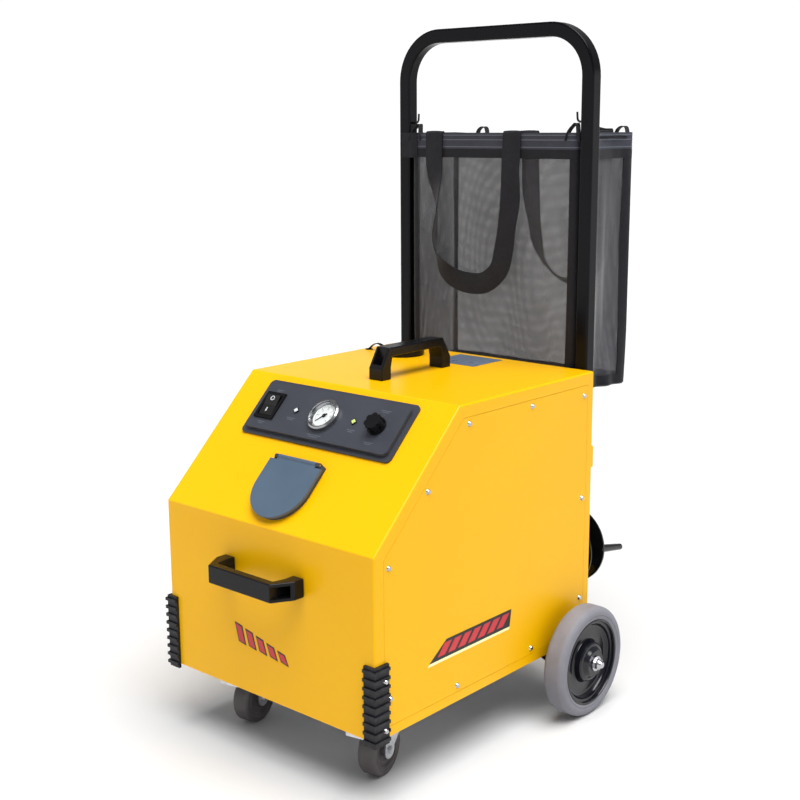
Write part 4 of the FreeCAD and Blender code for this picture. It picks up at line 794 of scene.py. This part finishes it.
def bag_point(index, depth):
    """A point of the bag's wall, from its ring and its depth below the rim."""
    point, panel = BAG_RING[index % len(BAG_RING)]
    share = (point.y - NECK_REAR) / (BAG_REAR - NECK_REAR)
    inward = slack(share, depth, panel, point.x)
    x, y = point
    dip = 0.0
    if panel == "front":
        y += inward
    elif panel == "rear":
        y -= inward * min(1, (BAG_HALF - abs(x)) / 18)
    elif panel == "side":
        hold = min(1, min(share, 1 - share) * 5)
        x -= math.copysign(inward * max(hold, 0), x)
    gather = max(0.0, depth - 0.72) / 0.28
    centre = (BAG_FRONT + BAG_REAR) / 2
    x *= 1 - 0.012 * gather ** 2
    y = centre + (y - centre) * (1 - 0.02 * gather ** 2)
    if panel == "rear":
        dip = 3.5 * (1 - (x / BAG_HALF) ** 2) * (1 - depth)
    z = BAG_RIM - 2 - dip - depth * (BAG_RIM - 2 - BAG_FLOOR - 8)
    return Vector((x, y, z))


def add_bag():
    """The mesh bag: one lofted shell with a sagging floor, and the trims sewn to it."""
    count = len(BAG_RING)
    columns = count + 1
    height = BAG_RIM - BAG_FLOOR
    around_bag = [0.0]
    for index in range(1, columns):
        step = BAG_RING[index % count][0] - BAG_RING[index - 1][0]
        around_bag.append(around_bag[-1] + step.length)
    points, coords = [], []
    for row in range(BAG_ROWS + 1):
        depth = row / BAG_ROWS
        for index in range(columns):
            points.append(bag_point(index, depth))
            coords.append((around_bag[index] * MM, depth * height * MM))
    start = BAG_ROWS * columns
    middle_y = (BAG_FRONT + BAG_REAR) / 2
    for ring_number in range(1, FLOOR_RINGS + 1):
        share = ring_number / FLOOR_RINGS
        for index in range(columns):
            edge = points[start + index]
            flat = edge.lerp(Vector((edge.x * 0.35, middle_y, edge.z)), share)
            flat.z = edge.z - 7 * math.sin(share * math.pi / 2)
            flat.z += 0.8 * math.sin(flat.x / 13) * share
            points.append(flat)
            coords.append((flat.x * MM, flat.y * MM))
    faces = []
    for row in range(BAG_ROWS + FLOOR_RINGS):
        for index in range(count):
            first = row * columns + index
            faces.append((first, first + columns, first + columns + 1, first + 1))
    shell = piece_from("mesh_bag", points, faces, sharp=None, coords=coords)
    finish_piece(shell, "bag", MESH, ("bag",))
    trims = add_bag_trims()


def doubled_faces(rows, columns, upper, lower):
    """Faces of a grid in two layers, from each layer's first point, and the rim between."""
    faces = []
    for row in range(rows - 1):
        for column in range(columns - 1):
            above = upper + row * columns + column
            below = lower + row * columns + column
            faces.append((above, above + 1, above + columns + 1, above + columns))
            faces.append((below, below + columns, below + columns + 1, below + 1))
    rim = [row * columns for row in range(rows)]
    rim += [(rows - 1) * columns + column for column in range(1, columns)]
    rim += [row * columns + columns - 1 for row in range(rows - 2, -1, -1)]
    rim += [column for column in range(columns - 2, 0, -1)]
    for here, after in zip(rim, rim[1:] + rim[:1]):
        faces.append((upper + here, upper + after, lower + after, lower + here))
    return faces


def wall_band(name, start, end, first, last, proud, material, thick=0.9):
    """A band of cloth on the bag's wall, from one depth to another and along its ring."""
    rows = max(3, int((end - start) * 60) + 2)
    columns = last - first + 1
    points, coords = [], []
    for layer in (proud, proud - thick):
        for row in range(rows):
            depth = start + (end - start) * row / (rows - 1)
            for index in range(first, last + 1):
                here = bag_point(index, depth)
                ahead = bag_point(index + 1, depth) - bag_point(index - 1, depth)
                out = Vector((ahead.y, -ahead.x, 0)).normalized()
                points.append(here + out * layer)
                coords.append((index * 6 * MM, depth * 395 * MM))
    faces = doubled_faces(rows, columns, rows * columns, 0)
    return finish_piece(piece_from(name, points, faces, sharp=50, coords=coords), "bag",
                        material)


def nearest_index(x, y):
    """The place on the bag's ring nearest to a point."""
    spot = Vector((x, y))
    return min(range(len(BAG_RING)), key=lambda i: (BAG_RING[i][0] - spot).length)


# Bands round the whole bag: depths from 0 at the rim to 1, how far out, and the cloth.
BANDS = {"bag_rim_band": (-0.004, 0.064, 1.4, RIM_BAND, 0.9),
         # The three thin lighter bands that follow are painted sheen: streaks of light on the rim
         # cloth, drawn as lighter ribs, not stitching.
         "bag_rim_sheen_line_0": (0.004, 0.0075, 1.75, GREY_PRINT_AND_SHEEN, 0.5),
         "bag_rim_sheen_line_1": (0.022, 0.0255, 1.75, GREY_PRINT_AND_SHEEN, 0.5),
         "bag_rim_sheen_line_2": (0.05, 0.0535, 1.75, GREY_PRINT_AND_SHEEN, 0.5),
         "bag_rim_tape": (0.060, 0.095, 1.7, BINDING, 0.9),
         "bag_bottom_tape": (0.955, 0.995, 1.6, BINDING, 0.9)}
# Seam tapes: the corner, and half the tape's width in steps of the ring.
SEAMS = {"rear_right": (BAG_HALF, BAG_REAR, 3), "rear_left": (-BAG_HALF, BAG_REAR, 1),
         "front_right": (NECK_HALF, BAG_FRONT, 2), "front_left": (-NECK_HALF, BAG_FRONT, 2)}


def add_bag_trims():
    """The rim band and tape, the seam tapes at the corners and the bottom binding."""
    count = len(BAG_RING)
    trims = [wall_band(name, start, end, 0, count, proud, material, thick)
             for name, (start, end, proud, material, thick) in BANDS.items()]
    for name, (x, y, half) in SEAMS.items():
        index = nearest_index(x, y)
        trims.append(wall_band(f"bag_seam_{name}", 0.09, 0.97, index - half, index + half, 1.5,
                               BINDING))
    return trims


def strap_piece(name, centres, half_wide, lean, material, thick=1.6, replaces=()):
    """A flat strap: (centre, half-width direction) pairs, with a thickness across both."""
    points, coords = [], []
    columns = 7
    rows = len(centres)
    for layer in (0.5, -0.5):
        length = 0.0
        for row, (centre, across) in enumerate(centres):
            if row:
                length += (centre - centres[row - 1][0]).length
            ahead = centres[min(row + 1, rows - 1)][0] - centres[max(row - 1, 0)][0]
            out = across.cross(ahead).normalized()
            for column in range(columns):
                share = column / (columns - 1) * 2 - 1
                cup = lean * (1 - share ** 2)
                points.append(centre + across * half_wide * share + out * (thick * layer + cup))
                coords.append((share * half_wide * MM, length * MM))
    faces = doubled_faces(rows, columns, 0, rows * columns)
    obj = piece_from(name, points, faces, sharp=50, coords=coords)
    finish_piece(obj, "bag", material, replaces)
    return obj


STRAP_HALF = 16.5
FRONT_STRAP_X = (-110, 42)
REAR_STRAP_X = (-20, 118)


def hanging_strap(name, stations, ends_x, side, replaces):
    """A carrying strap, hung over the rim at two places across the bag.

    side is -1 for the front wall and 1 for the rear wall; the twist is in degrees.
    """
    wall = BAG_FRONT if side < 0 else BAG_REAR
    route = over_rim(ends_x[0]) + stations + over_rim(ends_x[1])[::-1]
    curve = smooth_route([Vector((x, wall + side * off, BAG_RIM - drop, twist))
                          for x, drop, off, twist in route], 10)
    centres = [Vector(station[:3]) for station in curve]
    pairs = []
    across = RIGHT
    for index, centre in enumerate(centres):
        ahead = centres[min(index + 1, len(centres) - 1)] - centres[max(index - 1, 0)]
        ahead.normalize()
        level = REAR.cross(ahead)
        if level.length > 0.25:
            across = level.normalized()
        turn = math.radians(curve[index][3])
        turned_across = across * math.cos(turn) + ahead.cross(across) * math.sin(turn)
        pairs.append((centre, turned_across.normalized()))
    return strap_piece(name, pairs, STRAP_HALF, 0.8 * -side, WEBBING, replaces=replaces)


def over_rim(x):
    """Stations that take a strap over the rim, from inside the wall to outside it."""
    return [(x, 22, -3.6, 0), (x, 6, -3.2, 0), (x, -0.6, -1.2, 0), (x, -0.4, 2.2, 0),
            (x, 6, 3.6, 0)]


def add_straps():
    """The two carrying straps, which hang down over the front and rear walls."""
    # Each station: x, how far below the rim, how far from the wall, the twist.
    front = [
        (-110, 40, 3.6, 0), (-108, 66, 4.0, 8), (-103, 98, 6.0, 38),
        (-101, 128, 8.5, 54), (-103, 160, 10.5, 62), (-100, 188, 10.0, 52),
        (-86, 212, 8.5, 22), (-66, 226, 7.0, 8), (-36, 232, 7.0, 0),
        (-4, 229, 7.0, 0), (22, 208, 6.6, 4), (31, 176, 6.0, 6),
        (36, 140, 5.4, 0), (41, 100, 4.6, 10), (40, 62, 4.0, 0),
        (41, 34, 3.6, 0)]
    rear = [
        (-20, 46, 3.6, 0), (-18, 96, 4.2, 0), (-12, 140, 5.0, 18),
        (-6, 174, 6.0, 24), (8, 206, 7.5, 48), (34, 230, 8.4, 62),
        (66, 236, 8.4, 60), (92, 218, 7.0, 36), (106, 180, 5.6, 16),
        (112, 120, 4.6, 0), (116, 60, 3.8, 0)]
    hanging_strap("carry_strap_front", front, FRONT_STRAP_X, -1, ("bag_strap_front",))
    hanging_strap("carry_strap_rear", rear, REAR_STRAP_X, 1, ("bag_strap_rear",))


def cloth_strip(name, route, half_wide, across, material, thick=1.3):
    """A short strip of cloth along a route, with one direction across it."""
    centres = smooth_route([Vector(point) for point in route], 6)
    return strap_piece(name, [(centre, across) for centre in centres], half_wide, 0.3, material,
                       thick)


LOOP_HALF = 5.2
LAP_HALF = 19.5
# How far below the rim the middle of the lap and the ends of the loops are.
LAP_DROP = 20
REAR_LOOP_X = {"left": -118, "right": 150}


def add_bag_loops():
    """The loops that hang the bag on its hooks, its corner lap and its rear loops."""
    hook_low, hook_high = limits("bag_hooks")
    hang_z = hook_low.z - 0.6
    hook_y = hook_low.y + 1.6
    for name, side in SIDES.items():
        x = side * (hook_high.x - 13)
        route = [(x + along, BAG_FRONT + y, BAG_RIM + z)
                 for along, y, z in ((-11, -1, -12), (-8, 1, 1))]
        route += [(x - 2.5, hook_y, hang_z - 1.2), (x, hook_y, hang_z),
                  (x + 2.5, hook_y, hang_z - 1.2)]
        route += [(x + along, BAG_FRONT + y, BAG_RIM + z)
                  for along, y, z in ((8, 1, 1), (11, -1, -12))]
        cloth_strip(f"hang_loop_{name}", route, LOOP_HALF, REAR, WEBBING, 1.1)
    leg_face = limits("cart_handle")[0].y - 1.3
    lap = [(x, y, BAG_RIM - LAP_DROP)
           for x, y in ((-146, BAG_FRONT - 2.6), (-155, BAG_FRONT - 4), (-162, leg_face),
                        (-170, leg_face), (-177, leg_face + 0.2))]
    cloth_strip("corner_lap_left", lap, LAP_HALF, UP, BINDING)
    for name, x in REAR_LOOP_X.items():
        arch = [(x + along, BAG_REAR + 1.6, BAG_RIM + z)
                for along, z in ((-10, -10), (-7, 2), (1, 8), (9, 6), (12, -8))]
        cloth_strip(f"rear_loop_{name}", arch, LOOP_HALF, REAR, WEBBING, 1.2)


# --- decals ---

INK_THICK = 0.15
PLATE_FRONT, PLATE_REAR, PLATE_HALF = 111, 184, 42
BADGE_START, BADGE_TOP = -62, 194
BADGE_BARS, BADGE_PITCH = 5, 21


def add_rating_plate():
    """The rating plate on the deck, with plain lines in place of its print."""
    place = Place((0, 0, limits("outer_cover")[1].z), RIGHT, REAR, UP)
    outline = [(-PLATE_HALF, PLATE_FRONT), (PLATE_HALF, PLATE_FRONT), (PLATE_HALF, PLATE_REAR),
               (-PLATE_HALF, PLATE_REAR)]
    plate = slab("rating_plate", outline, place, 0.02, 0.5)
    finish_piece(plate, "chassis", PLATE, ("blank_plates",))
    lines = []
    for row in range(6):
        middle = (-4 + 3 * (row % 2), PLATE_FRONT + 12 + row * 10)
        lines.append(slab("line", bar(middle, 30 - 4 * (row % 3), 0.9), place, 0.5, 0.56))
    finish_piece(joined("rating_plate_lines", lines), "chassis", GREY_PRINT_AND_SHEEN)


def add_front_badge():
    """Slanted bars that get shorter, in place of the printed badge on the front."""
    badge = Place((0, limits("outer_cover")[0].y, 0), RIGHT, UP, -REAR)
    dark, bright = [], []
    for number in range(BADGE_BARS):
        start = BADGE_START + number * BADGE_PITCH
        top = BADGE_TOP - number * 5
        tall = 30 - number * 3
        outline = [(start, top), (start + 15, top - 3), (start + 22, top - tall),
                   (start + 7, top - tall + 3)]
        dark.append(slab("bar", outline, badge, 0.02, 0.4))
        inner = [(start + 2.2, top - 2.4), (start + 13.2, top - 4.6),
                 (start + 19.8, top - tall + 2.4), (start + 8.6, top - tall + 4.6)]
        bright.append(slab("bar", inner, badge, 0.4, 0.4 + INK_THICK))
    finish_piece(joined("front_badge_edges", dark), "chassis", INK)
    finish_piece(joined("front_badge_bars", bright), "chassis", RED_INK)


DECAL_FRONT, DECAL_LONG = -180, 180
DECAL_FOOT, DECAL_TOP = 170, 194
DECAL_BLOCKS, BLOCK_PITCH, BLOCK_WIDE, BLOCK_LEAN = 7, 21.4, 15, 15


def add_side_decal(name, side):
    """A slanted black panel with red blocks over a pale stripe, on one side."""
    low, high = limits(f"side_panel_{name}")
    wall = high.x if side > 0 else low.x
    # Distances along the decal run from its front end to its rear end on both sides.
    place = Place((wall, 0, 0), REAR * side, UP, RIGHT * side)

    def outline(corners):
        return [((DECAL_FRONT + along) * side, z) for along, z in corners]

    edge = DECAL_FOOT - 1
    panel = outline([(0, edge), (DECAL_LONG - 4, edge), (DECAL_LONG, DECAL_TOP),
                     (36, DECAL_TOP)])
    finish_piece(slab(f"side_decal_{name}", panel, place, 0.02, 0.35), "chassis", INK)
    stripe = outline([(-3, edge - 4), (DECAL_LONG - 5, edge - 4), (DECAL_LONG - 4, edge),
                      (0, edge)])
    finish_piece(slab(f"side_decal_stripe_{name}", stripe, place, 0.02, 0.35), "chassis",
                 CREAM_INK)
    low_z, high_z = DECAL_FOOT + 3.5, DECAL_TOP - 4
    blocks = []
    for number in range(DECAL_BLOCKS):
        start = 17 + number * BLOCK_PITCH
        block = outline([(start, low_z), (start + BLOCK_WIDE, low_z),
                         (start + BLOCK_WIDE + BLOCK_LEAN, high_z), (start + BLOCK_LEAN, high_z)])
        blocks.append(slab("block", block, place, 0.35, 0.35 + INK_THICK))
    finish_piece(joined(f"side_decal_blocks_{name}", blocks), "chassis", RED_INK)


# --- wheels ---

RIM_RADIUS = 65.0
TYRE_SHOULDER = 9
AXLE_BORE = 8.3


def reach_along(node, side):
    """A side node's nearest and furthest distance from the middle of the machine."""
    low, high = limits(node)
    return (low.x, high.x) if side > 0 else (-high.x, -low.x)


def add_rear_wheels():
    """Solid grey tyres with rounded shoulders on dished rims."""
    for name, side in SIDES.items():
        body = f"rear_wheel_{name}"
        centre = hinge_point(f"{body}_roll")
        inside, outside = reach_along(f"rear_tyre_{name}", side)
        low, high = limits(f"rear_tyre_{name}")
        shoulder = (high.z - low.z) / 2 - TYRE_SHOULDER
        place = around((0, centre.y, centre.z), RIGHT * side)
        rim = RIM_RADIUS
        profile = [(rim, inside + 1.5), (rim + 3, inside + 0.4)]
        profile += arc((shoulder, inside + TYRE_SHOULDER), TYRE_SHOULDER, 270, 360, 8)
        profile += arc((shoulder, outside - TYRE_SHOULDER), TYRE_SHOULDER, 0, 90, 8)
        profile += [(rim + 6, outside), (rim + 5, outside - 0.9), (rim + 4, outside - 0.9),
                    (rim + 3, outside - 0.2), (rim, outside - 1.2)]
        tyre = turned(f"rear_tyre_{name}_detail", profile, place, 128, 40)
        finish_piece(tyre, body, TYRE, (f"rear_tyre_{name}",))
        hub_in, hub_out = reach_along(f"rear_rim_{name}", side)
        middle = (inside + outside) / 2
        bore = AXLE_BORE
        profile = [(bore, hub_in), (20, hub_in), (21, middle - 3), (rim - 9, middle - 3),
                   (rim - 5, inside + 2), (rim, inside + 1.5), (rim, outside - 1.4),
                   (rim - 1.2, outside - 0.6), (rim - 3.4, outside - 0.6), (rim - 4, outside - 2),
                   (rim - 4.4, outside - 5), (rim - 7.6, outside - 5.6)]
        profile += arc((rim - 16, middle + 11), 8, 0, -90, 8)
        profile += arc((35, middle + 7), 4, 270, 180, 5)
        profile += [(29.5, outside - 4), (27.5, outside - 2), (24, outside - 1.4),
                    (22.6, outside), (20.6, hub_out - 1.6), (19, hub_out), (bore, hub_out)]
        dish = turned(f"rear_rim_{name}_detail", profile, place, 112, 30)
        finish_piece(dish, body, RIM, (f"rear_rim_{name}",))


CASTER_RADIUS, CASTER_HALF, CASTER_BORE = 37.5, 13.5, 4.2
CASTER_SHOULDER = 5.6


def mirrored(profile):
    """A profile's points at the low end, then the same points back at the high end.

    Heights in it are measured outward from the wheel's face, so 0 is the face.
    """
    low = [(radius, -(CASTER_HALF + out)) for radius, out in profile]
    high = [(radius, CASTER_HALF + out) for radius, out in profile[::-1]]
    return low, high


def add_caster_wheels():
    """Stepped caster wheels: a crowned tread, a lip, and grooved discs."""
    edge = CASTER_RADIUS - CASTER_SHOULDER
    turn_in = CASTER_HALF - CASTER_SHOULDER
    face_low, face_high = mirrored([(23.5, -2.0), (25, -0.2), (27, 0), (27.6, -0.9), (28.6, -0.9),
                                    (29.4, 0), (CASTER_RADIUS - 5.5, 0)])
    disc_low, disc_high = mirrored([(CASTER_BORE, 0.7), (8.6, 0.7), (9.4, -1), (10.5, -4),
                                    (15.6, -4.2), (16, -3.4), (17.4, -3.4), (17.8, -4),
                                    (22.4, -3.6), (23.4, -2.2)])
    crown = [(CASTER_RADIUS - 0.5 * (x / (CASTER_HALF - 5)) ** 2, x)
             for x in (-8.5, -5, -2, 2, 5, 8.5)]
    tyre_profile = face_low + arc((edge, -turn_in), CASTER_SHOULDER, 270, 340, 5) + crown
    tyre_profile += arc((edge, turn_in), CASTER_SHOULDER, 20, 90, 5) + face_high
    for name in SIDES:
        joint = f"caster_roll_{name}"
        body = f"caster_wheel_{name}"
        place = around(hinge_point(joint), hinge_axis(joint))
        tyre = turned(f"caster_tyre_{name}_detail", tyre_profile, place, 96, 30)
        finish_piece(tyre, body, CASTER, (f"caster_tyre_{name}",))
        core = turned(f"caster_core_{name}_detail", disc_low + disc_high, place, 80, 30)
        finish_piece(core, body, CASTER, (f"caster_core_{name}",))


# --- all ---

dress_cad_nodes()
add_camera()
add_studio()
add_rocker_marks()
add_dial_marks()
add_gauge_details()
add_panel_print()
add_lamps()
add_rating_plate()
add_front_badge()
for side_name, side_sign in SIDES.items():
    add_side_decal(side_name, side_sign)
add_rear_wheels()
add_caster_wheels()
add_bag()
add_straps()
add_bag_loops()
